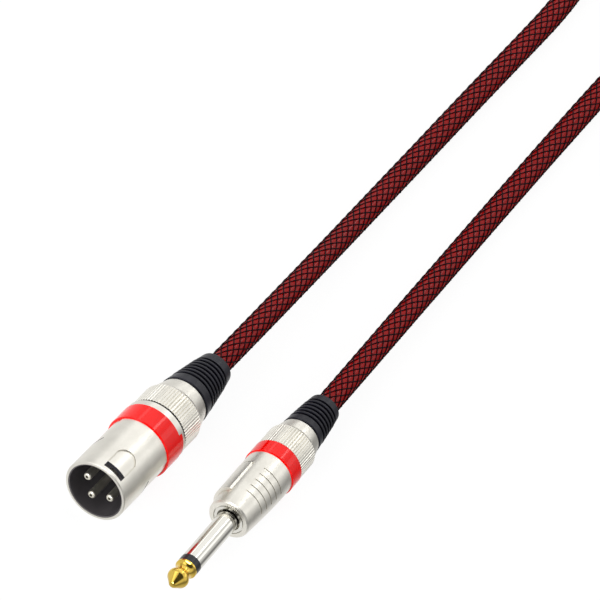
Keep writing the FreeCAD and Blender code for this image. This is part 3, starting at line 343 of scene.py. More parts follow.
# Zinc casting, tumbled and satin nickel plated: warm off-white with a fine sparkle
SATIN_NICKEL = Finish("satin_nickel_casting", "#E4E1D8", "#DAD7CE", 0.36, 1.0, 0.35 * MM, 0.018 * MM)
# Brass, turned and bright nickel plated: a clear mirror with faint rings
BRIGHT_NICKEL = TurnedFinish(
    "bright_nickel_turned", "#E2E0D9", "#D6D4CC", 0.12, 1.0, 0.4 * MM, 0.002 * MM, along=Along.JACK_AXIS
)
# Brass, turned and silver plated: white metal, a little dull in the sockets
SILVER_PLATE = TurnedFinish("silver_plate_turned", "#E8E5DA", "#CFCABB", 0.45, 1.0, 0.3 * MM, 0.003 * MM)
# Brass, turned and flash gold plated
GOLD_PLATE = TurnedFinish(
    "gold_plate_turned", "#EBCB62", "#DDB94C", 0.14, 1.0, 0.3 * MM, 0.003 * MM, along=Along.JACK_AXIS
)
# Brass sheet and copper strand, tinned: soft grey metal
TINNED_BRASS = Finish("tinned_brass_sheet", "#C9C6BC", "#B3AFA3", 0.3, 1.0, 0.3 * MM, 0.01 * MM)
# ABS, moulded and glossy: strong red with clear reflections
RED_ABS = Finish("red_abs_moulded", "#F20A05", "#EC0804", 0.1, 0.0, 0.5 * MM, 0.002 * MM, 0.34)
# Glass-filled nylon, moulded: black with a dull, slightly mottled face
BLACK_NYLON = Finish("black_nylon_moulded", "#444143", "#4C494B", 0.42, 0.0, 0.4 * MM, 0.01 * MM, 0.4)
# Acetal, turned: the ring between the jack's sleeve and tip, blue-black and a little glossy
BLACK_ACETAL = Finish("black_acetal_turned", "#15151B", "#1A1A20", 0.3, 0.0, 0.4 * MM, 0.004 * MM, 0.4)
# Soft PVC, moulded: the boots' blue-black rubber look
BOOT_RUBBER = Finish("black_soft_pvc_moulded", "#11111B", "#161622", 0.38, 0.0, 0.5 * MM, 0.012 * MM, 0.3)
# PVC, extruded: dark red jacket, glossy through the net
JACKET_PVC = Finish("red_pvc_extruded", "#900000", "#880000", 0.15, 0.0, 0.8 * MM, 0.006 * MM, 0.16)
# Polyester monofilament, braided as an open net
NET_POLYESTER = Finish("black_polyester_net", "#10060B", "#170A11", 0.45, 0.0, 0.25 * MM, 0.01 * MM, 0.05)
# Polyethylene, extruded: milky white insulation
NATURAL_POLYETHYLENE = Finish("natural_polyethylene_extruded", "#E6E2D6", "#DAD5C6", 0.4, 0.0, 0.5 * MM, 0.006 * MM)
# PET, drawn thin: pale lining tube
CLEAR_PET = Finish("clear_pet_tube", "#DCDDD8", "#CFD1CB", 0.2, 0.0, 0.6 * MM, 0.003 * MM)
# Nylon hook-and-loop tape, woven: black with a fuzzy face
STRAP_NYLON = WovenFinish("black_nylon_tape_woven", "#2A2A2C", "#0C0C0D", 0.85, 0.0, 0.5 * MM, 0.12 * MM)


# Plugs
@dataclass
class Plug:
    """One plug: the CAD nodes whose names start with its prefix, dressed by what each is made of.

    Attributes:
        prefix: Start of its nodes' names.
        finishes: Finish of each node, by the rest of its name.
    """

    prefix: str
    finishes: dict[str, Finish]

    def dress(self, made: dict[str, bpy.types.Material]) -> int:
        """Gives each CAD node its material.

        Args:
            made: The materials made so far, by name, which are shared between the plugs.

        Returns:
            How many nodes were dressed.
        """
        for part, finish in self.finishes.items():
            if finish.name not in made:
                made[finish.name] = finish.material()
            dress(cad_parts[f"{self.prefix}_{part}"], made[finish.name])
        return len(self.finishes)


XLR_PLUG = Plug(
    "xlr",
    {
        "shell": SATIN_NICKEL,
        "nut": SATIN_NICKEL,
        "insert": BLACK_NYLON,
        "chuck": BLACK_NYLON,
        "color_ring": RED_ABS,
        "boot": BOOT_RUBBER,
        "ground_spring": TINNED_BRASS,
        "pin_1": SILVER_PLATE,
        "pin_2": SILVER_PLATE,
        "pin_3": SILVER_PLATE,
        "cord_core": NATURAL_POLYETHYLENE,
        "hot_lead": NATURAL_POLYETHYLENE,
        "shield_lead": TINNED_BRASS,
        "ground_link": TINNED_BRASS,
    },
)
JACK_PLUG = Plug(
    "jack",
    {
        "barrel": SATIN_NICKEL,
        "nut": SATIN_NICKEL,
        "front_bush": BRIGHT_NICKEL,
        "sleeve": BRIGHT_NICKEL,
        "insulator_ring": BLACK_ACETAL,
        "rod_insulator": BLACK_NYLON,
        "lug_washer": BLACK_NYLON,
        "chuck": BLACK_NYLON,
        "tip": GOLD_PLATE,
        "tip_rod": TINNED_BRASS,
        "ground_lug": TINNED_BRASS,
        "tip_lug": TINNED_BRASS,
        "insulating_tube": CLEAR_PET,
        "color_ring": RED_ABS,
        "boot": BOOT_RUBBER,
        "cord_core": NATURAL_POLYETHYLENE,
        "hot_lead": NATURAL_POLYETHYLENE,
        "shield_lead": TINNED_BRASS,
    },
)


@dataclass
class WindowShadeSheet:
    """The black sheet on the walls of the XLR shell's latch window, flush with the shell's curved face: painted shade
    that keeps the window dark.

    Attributes:
        along: Y of the window's middle.
        half_width: Across the plug.
        half_length: Along the plug.
        thickness: Of the sheet.
        inner: Radius of its lower edge.
        outer: Radius of its upper edge.
        steps: Faces across the curve.
    """

    along: float = -37.58 * MM
    half_width: float = 3.21 * MM
    half_length: float = 1.04 * MM
    thickness: float = 0.16 * MM
    inner: float = 8.45 * MM
    outer: float = 9.47 * MM
    steps: int = 12

    def rim(self, inset: float, radius: float) -> list[Point]:
        """Points round the window at one height.

        Args:
            inset: How far they stand in from the window's edge.
            radius: Their distance from the plug's axis.

        Returns:
            The points, along one long side and back along the other.
        """
        wide, deep = self.half_width - inset, self.half_length - inset
        across = [wide * (2 * i / self.steps - 1) for i in range(self.steps + 1)]
        flat = [(x, -deep) for x in across] + [(x, deep) for x in across[::-1]]
        axis_x, axis_z = XLR_AXIS
        return [(axis_x + x, self.along + y, axis_z + math.sqrt(radius**2 - x**2)) for x, y in flat]

    def build(self, material: bpy.types.Material) -> bpy.types.Object:
        """Makes the painted shade as a closed ring of four walls.

        Args:
            material: The painted shade's material.

        Returns:
            The painted shade's object.
        """
        loops = [
            self.rim(0.0, self.inner),
            self.rim(0.0, self.outer),
            self.rim(self.thickness, self.outer),
            self.rim(self.thickness, self.inner),
        ]
        points = [point for loop in loops for point in loop]
        obj = mesh_object("xlr_window_painted_shade", points, skin(len(loops), len(loops[0])))
        dress(obj, material)
        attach(obj, "root")
        return obj


@dataclass
class NutGapShade:
    """The black ring in the gap between the XLR shell's rim and its knurled nut: painted shade that darkens the gap.

    Attributes:
        along: Where it starts on the plug's axis, in Y.
        width: Along the axis.
        inner: Its inner radius, on the nut's thread.
        outer: Its outer radius.
        steps: Faces round it.
    """

    along: float = -8.7 * MM
    width: float = 0.84 * MM
    inner: float = 8.685 * MM
    outer: float = 9.15 * MM
    steps: int = 96

    def build(self, material: bpy.types.Material) -> bpy.types.Object:
        """Makes the ring, which the nut carries.

        Args:
            material: The ring's material.

        Returns:
            The ring's object.
        """
        section = [(self.inner, 0.0), (self.inner, self.width), (self.outer, self.width), (self.outer, 0.0)]
        axis_x, axis_z = XLR_AXIS
        points = []
        for i in range(self.steps):
            angle = 2 * math.pi * i / self.steps
            for radius, along in section:
                x, z = axis_x + radius * math.sin(angle), axis_z + radius * math.cos(angle)
                points.append((x, self.along + along, z))
        obj = mesh_object("xlr_nut_gap_painted_shade", points, skin(self.steps, len(section)))
        dress(obj, material)
        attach(obj, "xlr_nut")
        return obj


@dataclass
class PocketShadeStrips:
    """Dark strips round the front ends of the XLR shell's two side pockets: painted shade along the pockets' front
    edges.

    Attributes:
        corner: Y of the pockets' straight edges' front ends.
        half_height: Of a pocket.
        bulge: How far its front end stands forward of the corners.
        width: Of a strip.
        outer: Radius of its face.
        inner: Radius of its underside, just clear of the pocket's floor.
        steps: Faces along a seam.
    """

    corner: float = -27.43 * MM
    half_height: float = 4.3 * MM
    bulge: float = 2.1 * MM
    width: float = 0.6 * MM
    outer: float = 9.46 * MM
    inner: float = 9.26 * MM
    steps: int = 24

    def build(self, material: bpy.types.Material) -> bpy.types.Object:
        """Makes both strips of painted shade, flat and following the arcs.

        Args:
            material: The strips' material.

        Returns:
            The object with both strips.
        """
        bend = (self.half_height**2 + self.bulge**2) / (2 * self.bulge)
        reach = math.asin(self.half_height / bend)
        centre = self.corner - self.bulge + bend
        hollow = bend - self.width
        section = [(bend, self.inner), (bend, self.outer), (hollow, self.outer), (hollow, self.inner)]
        axis_x, axis_z = XLR_AXIS
        points, faces = [], []
        for side in (-1, 1):
            faces += skin(self.steps + 1, len(section), first=len(points), closed=False)
            for i in range(self.steps + 1):
                angle = reach * (2 * i / self.steps - 1)
                # The left strip mirrors the right one, so its section runs the other way round
                for swing, radius in section[::side]:
                    z, y = swing * math.sin(angle), centre - swing * math.cos(angle)
                    points.append((axis_x + side * math.sqrt(radius**2 - z**2), y, axis_z + z))
        obj = mesh_object("xlr_pocket_painted_shade", points, faces)
        dress(obj, material)
        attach(obj, "root")
        return obj


# Cord
@dataclass
class NettedCord:
    """The cord: a PVC jacket along one spline, and a net of crossing threads braided over it.

    Attributes:
        diameter: Over the net.
        jacket_radius: Of the PVC under the net.
        thread_radius: Of one thread.
        threads: Threads that wind one way; as many wind the other way.
        lead: Length in which a thread goes once round.
        from_xlr: Control points from the XLR plug to the coil.
        from_jack: Control points from the jack plug to the coil.
        coil_centre: Middle of the coil, in plan.
        inner_radius: Of the half turn that climbs.
        pitch: From turn to turn, and from layer to layer.
        half_turns: In each layer.
        low: Height of the lower layer's centre line.
        per_half_turn: Control points of a half turn.
        net_depth: How deep the threads' middle lies under the cord's face, in thread radii.
        coil_share: Shares of the length at which the net over the coil starts and ends.
    """

    diameter: float = 7.0 * MM
    jacket_radius: float = 3.15 * MM
    thread_radius: float = 0.17 * MM
    threads: int = 10
    lead: float = 34.1 * MM
    from_xlr: list[Point] = field(
        default_factory=lambda: [
            (-0.01418, -0.00583, 0.0099),
            (-0.01418, 0.05227, 0.0099),
            (-0.0148, 0.116, 0.0035),
            (-0.0156, 0.172, 0.0035),
            (-0.0161, 0.237, 0.0035),
            (-0.032, 0.2685, 0.0036),
            (-0.052, 0.288, 0.0043),
            (-0.062, 0.311, 0.0045),
        ]
    )
    from_jack: list[Point] = field(
        default_factory=lambda: [
            (0.016232, 0.014545, 0.0077),
            (0.013707, 0.071689, 0.0077),
            (0.0115, 0.131, 0.0035),
            (0.0097, 0.176, 0.0035),
            (0.0082, 0.231, 0.0035),
            (0.018, 0.262, 0.0043),
            (0.0435, 0.283, 0.009),
            (0.054, 0.31, 0.012),
        ]
    )
    coil_centre: tuple[float, float] = (-0.004, 0.331)
    inner_radius: float = 28.0 * MM
    pitch: float = 7.5 * MM
    half_turns: int = 8
    low: float = 4.5 * MM
    per_half_turn: int = 12
    net_depth: float = 1.6
    coil_share: tuple[float, float] = (0.113, 0.893)

    def crossing(self) -> float:
        """Length of cord from one crossing of a thread to its next."""
        return self.lead / (2 * self.threads)

    def coil_points(self) -> list[Point]:
        """Works out the coil: inwards on the lower layer, up, and outwards on the upper one.

        Returns:
            Its control points.
        """
        outer = self.inner_radius + self.half_turns * self.pitch / 2
        radii = [outer - k * self.pitch / 2 for k in range(self.half_turns)]
        radii += [self.inner_radius]
        radii += radii[self.half_turns - 1 :: -1]
        points = []
        x, y = self.coil_centre
        side, at = -1.0, x - outer
        for k, radius in enumerate(radii):
            centre = at - side * radius
            reach = radius / math.cos(math.pi / (2 * self.per_half_turn))
            for i in range(self.per_half_turn):
                angle = math.pi * (i + 0.5) / self.per_half_turn
                climbed = (k > self.half_turns) + (k == self.half_turns) * (i + 0.5) / self.per_half_turn
                points.append(
                    (
                        centre + side * reach * math.cos(angle),
                        y - side * reach * math.sin(angle),
                        self.low + self.pitch * climbed,
                    )
                )
            at = centre - side * radius
            side = -side
        return points

    def route(self) -> bpy.types.Object:
        """Makes the cord's one open spline, from the XLR plug through the coil to the jack plug.

        Returns:
            The curve's object, with no bevel yet.
        """
        points = self.from_xlr + self.coil_points() + self.from_jack[::-1]
        curve = bpy.data.curves.new("cord_jacket", "CURVE")
        curve.dimensions = "3D"
        spline = curve.splines.new("NURBS")
        spline.points.add(len(points) - 1)
        for point, place in zip(spline.points, points):
            point.co = (*place, 1.0)
        spline.order_u = 3
        spline.use_endpoint_u = True
        spline.resolution_u = 12
        curve.resolution_u = 12
        obj = bpy.data.objects.new("cord_jacket", curve)
        bpy.context.scene.collection.objects.link(obj)
        return obj

    def centre_line(self, route: bpy.types.Object) -> bpy.types.Mesh:
        """Reads the spline's own points, while it has no bevel, as a mesh of edges."""
        return bpy.data.meshes.new_from_object(route)

    def net_tree(self, material: bpy.types.Material) -> bpy.types.NodeTree:
        """Builds the braid: each thread is the cord's line, trimmed, moved out in a helix and made a tube.

        Args:
            material: The threads' material.

        Returns:
            The geometry node tree, with its sizes as named inputs.
        """
        tree = bpy.data.node_groups.new("braided_net", "GeometryNodeTree")
        tree.interface.new_socket("Geometry", in_out="INPUT", socket_type="NodeSocketGeometry")
        tree.interface.new_socket("Geometry", in_out="OUTPUT", socket_type="NodeSocketGeometry")
        for name, kind in (
            ("Start", "NodeSocketFloat"),
            ("End", "NodeSocketFloat"),
            ("Steps", "NodeSocketInt"),
            ("Threads", "NodeSocketInt"),
            ("Lead", "NodeSocketFloat"),
            ("Radius", "NodeSocketFloat"),
            ("Thread Radius", "NodeSocketFloat"),
            ("Sides", "NodeSocketInt"),
        ):
            tree.interface.new_socket(name, in_out="INPUT", socket_type=kind)
        given = add_node(tree, "NodeGroupInput").outputs
        math_node = "ShaderNodeMath"
        line = add_node(tree, "GeometryNodeMeshToCurve", {"Mesh": given["Geometry"]})
        cut = add_node(
            tree,
            "GeometryNodeTrimCurve",
            {"Curve": line.outputs["Curve"], "Start_001": given["Start"], "End_001": given["End"]},
            mode="LENGTH",
        )
        count = add_node(tree, math_node, {0: given["Steps"], 1: 1.0}, operation="ADD")
        even = add_node(
            tree,
            "GeometryNodeResampleCurve",
            {"Curve": cut.outputs["Curve"], "Count": count.outputs[0]},
            mode="COUNT",
        )
        both_ways = add_node(tree, math_node, {0: given["Threads"], 1: 2.0}, operation="MULTIPLY")
        copies = add_node(
            tree,
            "GeometryNodeDuplicateElements",
            {"Geometry": even.outputs["Curve"], "Amount": both_ways.outputs[0]},
            domain="SPLINE",
        )
        index = copies.outputs["Duplicate Index"]
        hand = add_node(tree, math_node, {0: index, 1: 2.0}, operation="MODULO")
        sign = add_node(tree, math_node, {0: hand.outputs[0], 1: 2.0, 2: -1.0}, operation="MULTIPLY_ADD")
        pair = add_node(tree, math_node, {0: index, 1: 2.0}, operation="DIVIDE")
        number = add_node(tree, math_node, {0: pair.outputs[0]}, operation="FLOOR")
        share = add_node(tree, math_node, {0: number.outputs[0], 1: given["Threads"]}, operation="DIVIDE")
        travelled = add_node(tree, "GeometryNodeSplineParameter").outputs["Length"]
        along = add_node(tree, math_node, {0: travelled, 1: given["Start"]}, operation="ADD")
        rounds = add_node(tree, math_node, {0: along.outputs[0], 1: given["Lead"]}, operation="DIVIDE")
        signed = add_node(tree, math_node, {0: rounds.outputs[0], 1: sign.outputs[0]}, operation="MULTIPLY")
        whole = add_node(tree, math_node, {0: signed.outputs[0], 1: share.outputs[0]}, operation="ADD")
        angle = add_node(tree, math_node, {0: whole.outputs[0], 1: 2 * math.pi}, operation="MULTIPLY")
        # Threads pass over and under in turn: one crossing each 1 / (2 threads) of a lead
        crossings = add_node(tree, math_node, {0: rounds.outputs[0], 1: both_ways.outputs[0]}, operation="MULTIPLY")
        wave = add_node(tree, math_node, {0: crossings.outputs[0], 1: math.pi}, operation="MULTIPLY")
        over = add_node(tree, math_node, {0: wave.outputs[0]}, operation="COSINE")
        lift = add_node(tree, math_node, {0: over.outputs[0], 1: sign.outputs[0]}, operation="MULTIPLY")
        weave = add_node(tree, math_node, {0: given["Thread Radius"], 1: 0.5}, operation="MULTIPLY")
        out = add_node(
            tree,
            math_node,
            {0: lift.outputs[0], 1: weave.outputs[0], 2: given["Radius"]},
            operation="MULTIPLY_ADD",
        )
        normal = add_node(tree, "GeometryNodeInputNormal").outputs["Normal"]
        tangent = add_node(tree, "GeometryNodeInputTangent").outputs["Tangent"]
        turned = add_node(
            tree,
            "ShaderNodeVectorRotate",
            {"Vector": normal, "Axis": tangent, "Angle": angle.outputs[0]},
            rotation_type="AXIS_ANGLE",
        )
        offset = add_node(
            tree, "ShaderNodeVectorMath", {0: turned.outputs["Vector"], "Scale": out.outputs[0]}, operation="SCALE"
        )
        moved = add_node(
            tree,
            "GeometryNodeSetPosition",
            {"Geometry": copies.outputs["Geometry"], "Offset": offset.outputs["Vector"]},
        )
        profile = add_node(
            tree, "GeometryNodeCurvePrimitiveCircle", {"Resolution": given["Sides"], "Radius": given["Thread Radius"]}
        )
        tubes = add_node(
            tree,
            "GeometryNodeCurveToMesh",
            {"Curve": moved.outputs["Geometry"], "Profile Curve": profile.outputs["Curve"], "Fill Caps": True},
        )
        smooth = add_node(tree, "GeometryNodeSetShadeSmooth", {"Geometry": tubes.outputs["Mesh"]})
        real = add_node(tree, "GeometryNodeRealizeInstances", {"Geometry": smooth.outputs["Geometry"]})
        dressed = add_node(
            tree, "GeometryNodeSetMaterial", {"Geometry": real.outputs["Geometry"], "Material": material}
        )
        add_node(tree, "NodeGroupOutput", {"Geometry": dressed.outputs["Geometry"]})
        return tree

    def net(
        self,
        name: str,
        line: bpy.types.Mesh,
        tree: bpy.types.NodeTree,
        crossings: tuple[int, int],
        fine: int,
        sides: int,
    ) -> bpy.types.Object:
        """Makes the net over one stretch of the cord as a plain mesh.

        Args:
            name: The piece's name.
            line: The cord's centre line.
            tree: The braid's node tree.
            crossings: Where the stretch starts and ends, counted in crossings along a thread.
            fine: Points from one crossing to the next.
            sides: Faces round a thread.

        Returns:
            The net's object.
        """
        base = bpy.data.objects.new(name + "_line", line)
        bpy.context.scene.collection.objects.link(base)
        modifier = base.modifiers.new("net", "NODES")
        modifier.node_group = tree
        keys = {s.name: s.identifier for s in tree.interface.items_tree if s.in_out == "INPUT"}
        sizes = {
            "Start": crossings[0] * self.crossing(),
            "End": crossings[1] * self.crossing(),
            "Steps": (crossings[1] - crossings[0]) * fine,
            "Threads": self.threads,
            "Lead": self.lead,
            "Radius": self.diameter / 2 - self.net_depth * self.thread_radius,
            "Thread Radius": self.thread_radius,
            "Sides": sides,
        }
        for key, value in sizes.items():
            modifier[keys[key]] = value
        seen = base.evaluated_get(bpy.context.evaluated_depsgraph_get())
        mesh = bpy.data.meshes.new_from_object(seen)
        mesh.name = name
        bpy.data.objects.remove(base)
        obj = bpy.data.objects.new(name, mesh)
        bpy.context.scene.collection.objects.link(obj)
        return obj

    def build(self) -> bpy.types.Object:
        """Returns:
            The jacket's object.
        """
        jacket = self.route()
        line = self.centre_line(jacket)
        points = [v.co for v in line.vertices]
        length = sum((b - a).length for a, b in zip(points, points[1:]))
        jacket.data.bevel_depth = self.jacket_radius
        jacket.data.bevel_resolution = 8
        jacket.data.use_fill_caps = True
        dress(jacket, JACKET_PVC.material())
        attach(jacket, "root")
        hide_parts("cord_from_xlr", "cord_coil", "cord_from_jack")

        tree = self.net_tree(NET_POLYESTER.material())
        total = int(length / self.crossing())
        free_xlr, free_jack = (round(total * share) for share in self.coil_share)
        middle = (free_xlr + free_jack) // 2
        # The free stretches have more points and sides than the coil, which has most of the length
        for name, ends, fine, sides in (
            ("net_from_xlr", (0, free_xlr), 2, 5),
            ("net_coil_low", (free_xlr, middle), 1, 4),
            ("net_coil_high", (middle, free_jack), 1, 4),
            ("net_from_jack", (free_jack, total), 2, 5),
        ):
            net = self.net(name, line, tree, ends, fine, sides)
            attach(net, "root")
            LOG.info("%s: %d faces", name, len(net.data.polygons))
        LOG.info("cord: %.3f m, %d control points", length, len(jacket.data.splines[0].points))
        return jacket


# Straps round the coil
@dataclass
class CoilStrap:
    """A hook-and-loop strap round the coil's section, lapped over itself on top.

    Attributes:
        node: The CAD node that it stands for.
        width: Along the turns.
        thickness: Of the tape.
        corner: Inner radius where it goes round the coil's edges.
        corner_steps: Faces round such an edge.
        start: Share of the top at which its first end lies.
        lap: How far its last end reaches back over the top, as a share of it.
        lap_steps: Faces along the lap.
        ramp: Length over which the lap rises onto the first end.
        stand: How far the lap rises, in thicknesses.
    """

    node: str
    width: float = 10.0 * MM
    thickness: float = 0.9 * MM
    corner: float = 3.0 * MM
    corner_steps: int = 8
    start: float = 0.3
    lap: float = 0.62
    lap_steps: int = 14
    ramp: float = 3.0 * MM
    stand: float = 1.05

    def build(self, material: bpy.types.Material) -> bpy.types.Object:
        """Makes the strap inside its CAD node's box, with its free end lapped over the top.

        Args:
            material: The tape's material.

        Returns:
            The strap's object.
        """
        low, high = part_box(self.node)
        x = (low[0] + high[0]) / 2
        half = self.thickness / 2
        y0, y1, z0, z1 = low[1] + half, high[1] - half, low[2] + half, high[2] - half
        corner = self.corner + half

        def arc(cy: float, cz: float, start: float) -> list[tuple[float, float]]:
            """Points of a corner's quarter turn, from its first angle in degrees."""
            angles = [math.radians(start + 90 * i / self.corner_steps) for i in range(self.corner_steps + 1)]
            return [(cy + corner * math.cos(a), cz + corner * math.sin(a)) for a in angles]

        first_end = y0 + (y1 - y0) * self.start
        path = [(first_end, z1)]
        path += arc(y0 + corner, z1 - corner, 90)
        path += arc(y0 + corner, z0 + corner, 180)
        path += arc(y1 - corner, z0 + corner, 270)
        path += arc(y1 - corner, z1 - corner, 0)
        # The lap starts flush, rises over the first end and lies on it
        reach = (y1 - y0) * self.lap
        for i in range(1, self.lap_steps + 1):
            y = y1 - corner - reach * i / self.lap_steps
            risen = min(1.0, max(0.0, (first_end + self.ramp - y) / self.ramp))
            path.append((y, z1 + self.thickness * self.stand * risen))
        return self.tape(path, x, material)

    def tape(self, path: list[tuple[float, float]], x: float, material: bpy.types.Material) -> bpy.types.Object:
        """Gives the path its width and thickness, as a closed mesh with rounded edges.

        Args:
            path: Points of the tape's middle, as (y, z).
            x: Middle of its width.
            material: The tape's material.

        Returns:
            The tape's object.
        """
        half, wide = self.thickness / 2, self.width / 2
        flat = wide - half
        across = [(wide, 0.0), (flat, half), (-flat, half), (-wide, 0.0), (-flat, -half), (flat, -half)]
        points = []
        for i, (y, z) in enumerate(path):
            before, after = path[max(i - 1, 0)], path[min(i + 1, len(path) - 1)]
            along = Vector((after[0] - before[0], after[1] - before[1])).normalized()
            out = Vector((along.y, -along.x))
            for dx, dn in across:
                points.append((x + dx, y + out.x * dn, z + out.y * dn))
        faces = skin(len(path), len(across), closed=False, corner=1)
        obj = mesh_object(self.node + "_strap", points, faces)
        dress(obj, material)
        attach(obj, "root")
        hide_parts(self.node)
        return obj


# Studio
@dataclass(frozen=True)
class SoftBox:
    """A soft box hung round the plugs, placed by the stripe that it lays along a cylinder.

    Attributes:
        name: The lamp's name.
        turn: Degrees about the plugs' axis, from straight above towards +X.
        half_turn: Half of what it covers that way, in degrees.
        lean: Degrees between its direction and the cords' direction.
        half_lean: Half of what it covers that way, in degrees.
        radiance: What it adds to the room in a perfect mirror; 1 is white.
        distance: From the plugs.
    """

    name: str
    turn: float
    half_turn: float
    lean: float = 48.0
    half_lean: float = 30.0
    radiance: float = 1.2
    distance: float = 1.5

    def build(self) -> bpy.types.Object:
        """Hangs the lamp so that it faces the plugs, its height along their axis.

        Returns:
            The lamp's object.
        """
        turn, lean = math.radians(self.turn), math.radians(self.lean)
        way = Vector((math.sin(lean) * math.sin(turn), math.cos(lean), math.sin(lean) * math.cos(turn)))
        upright = (Vector((0.0, 1.0, 0.0)) - way * way.y).normalized()
        across = upright.cross(way)
        data = bpy.data.lights.new(self.name, "AREA")
        data.shape = "RECTANGLE"
        data.size = 2 * self.distance * math.tan(math.radians(self.half_turn) * math.sin(lean))
        data.size_y = 2 * self.distance * math.tan(math.radians(self.half_lean))
        data.energy = self.radiance * math.pi * data.size * data.size_y
        lamp = bpy.data.objects.new(self.name, data)
        lamp.location = way * self.distance
        lamp.rotation_euler = Matrix((across, upright, way)).transposed().to_euler()
        bpy.context.scene.collection.objects.link(lamp)
        return lamp


@dataclass
class Studio:
    """A pale floor, soft boxes and a pale room whose horizon is darker to the right.

    Attributes:
        floor_half: Half the floor's side.
        floor_colour: Of the pale floor.
        floor_glow: Share of plain white in how the floor looks, which fades its shadows.
        floor_white: Strength of that white.
        fade_start: How far from the plugs the reflected floor starts to fade.
        fade_share: That distance over the one at which it has faded.
        camera_way: Direction from the plugs to the camera.
        camera_shade: Share of light missing round that direction, where the camera and its stand are.
        shade_angles: Degrees from that direction at which the shade starts, and is full.
        zenith: Light of the room overhead; 1 is white.
        zenith_band: Z of a direction at which the light starts to change to the zenith's, and has changed.
        horizon_left: Light of the room at the horizon towards -X.
        horizon_right: Light of the room at the horizon towards +X.
        horizon_band: X of a direction at which the horizon's light starts to fall, and has fallen.
        boxes: The soft boxes.
    """

    floor_half: float = 12.0
    floor_colour: str = "#F2F2F2"
    floor_glow: float = 0.85
    floor_white: float = 1.06
    fade_start: float = 30.0 * MM
    fade_share: float = 0.19
    camera_way: Point = (0.0, -0.669, 0.743)
    camera_shade: float = 0.93
    shade_angles: tuple[float, float] = (46.0, 30.0)
    zenith: float = 0.85
    zenith_band: tuple[float, float] = (-0.05, 0.5)
    horizon_left: float = 0.82
    horizon_right: float = 0.16
    horizon_band: tuple[float, float] = (-0.6, 0.45)
    boxes: tuple[SoftBox, ...] = (
        SoftBox("soft_box_above", -22.0, 32.0, radiance=0.36),
        SoftBox("strip_above", -6.0, 2.5, radiance=3.0),
        SoftBox("strip_left", -62.0, 5.0, radiance=0.9),
        SoftBox("soft_box_right", 36.0, 11.0, radiance=0.62),
        SoftBox("soft_box_front", -50.0, 22.0, lean=118.0, half_lean=16.0, radiance=0.9),
        SoftBox("soft_box_low_front", -35.0, 45.0, lean=161.0, half_lean=14.0, radiance=12.0),
    )

    def floor(self) -> bpy.types.Object:
        """Makes the floor that the cable lies on.

        Returns:
            The floor's object.
        """
        h = self.floor_half
        floor = mesh_object("studio_floor", [(-h, -h, 0), (h, -h, 0), (h, h, 0), (-h, h, 0)], [(0, 1, 2, 3)])
        material = bpy.data.materials.new("white_paper_sweep")
        material.use_nodes = True
        tree = material.node_tree
        tree.nodes.clear()
        paper = add_node(tree, "ShaderNodeBsdfDiffuse", {"Color": linear(self.floor_colour)})
        path = add_node(tree, "ShaderNodeLightPath").outputs
        # In reflections the floor fades into the horizon away from the plugs, most to the right
        place = add_node(tree, "ShaderNodeTexCoord").outputs["Object"]
        away = add_node(tree, "ShaderNodeVectorMath", {0: place}, operation="LENGTH").outputs["Value"]
        steep = add_node(tree, "ShaderNodeMath", {0: self.fade_start, 1: away}, operation="DIVIDE")
        flat = add_node(
            tree,
            "ShaderNodeMapRange",
            {"Value": steep.outputs[0], "From Min": self.fade_share, "From Max": 1.0, "To Min": 1.0, "To Max": 0.0},
            interpolation_type="SMOOTHSTEP",
        )
        way = add_node(tree, "ShaderNodeVectorMath", {0: place}, operation="NORMALIZE").outputs["Vector"]
        parts = add_node(tree, "ShaderNodeSeparateXYZ", {"Vector": way}).outputs
        missing = add_node(tree, "ShaderNodeMath", {0: 1.0, 1: self.horizon(tree, parts["X"])}, operation="SUBTRACT")
        fade = add_node(tree, "ShaderNodeMath", {0: flat.outputs[0], 1: missing.outputs[0]}, operation="MULTIPLY")
        fade = add_node(
            tree, "ShaderNodeMath", {0: fade.outputs[0], 1: path["Is Glossy Ray"]}, operation="MULTIPLY"
        )
        strength = add_node(
            tree,
            "ShaderNodeMath",
            {0: fade.outputs[0], 1: -self.floor_white, 2: self.floor_white},
            operation="MULTIPLY_ADD",
        )
        white = add_node(
            tree, "ShaderNodeEmission", {"Color": linear("#FFFFFF"), "Strength": strength.outputs[0]}
        )
        seen = add_node(
            tree, "ShaderNodeMath", {0: path["Is Camera Ray"], 1: path["Is Glossy Ray"]}, operation="MAXIMUM"
        )
        share = add_node(tree, "ShaderNodeMath", {0: seen.outputs[0], 1: self.floor_glow}, operation="MULTIPLY")
        look = add_node(
            tree, "ShaderNodeMixShader", {0: share.outputs[0], 1: paper.outputs["BSDF"], 2: white.outputs["Emission"]}
        )
        add_node(tree, "ShaderNodeOutputMaterial", {"Surface": look.outputs["Shader"]})
        dress(floor, material)
        return floor

    def horizon(self, tree: bpy.types.NodeTree, across: bpy.types.NodeSocket) -> bpy.types.NodeSocket:
        """Adds the light of the horizon, which falls from left to right.

        Args:
            tree: The node tree.
            across: The X of a direction.

        Returns:
            The socket with the light.
        """
        low = add_node(
            tree,
            "ShaderNodeMapRange",
            {
                "Value": across,
                "From Min": self.horizon_band[0],
                "From Max": self.horizon_band[1],
                "To Min": self.horizon_left,
                "To Max": self.horizon_right,
            },
            interpolation_type="SMOOTHSTEP",
        )
        return low.outputs[0]

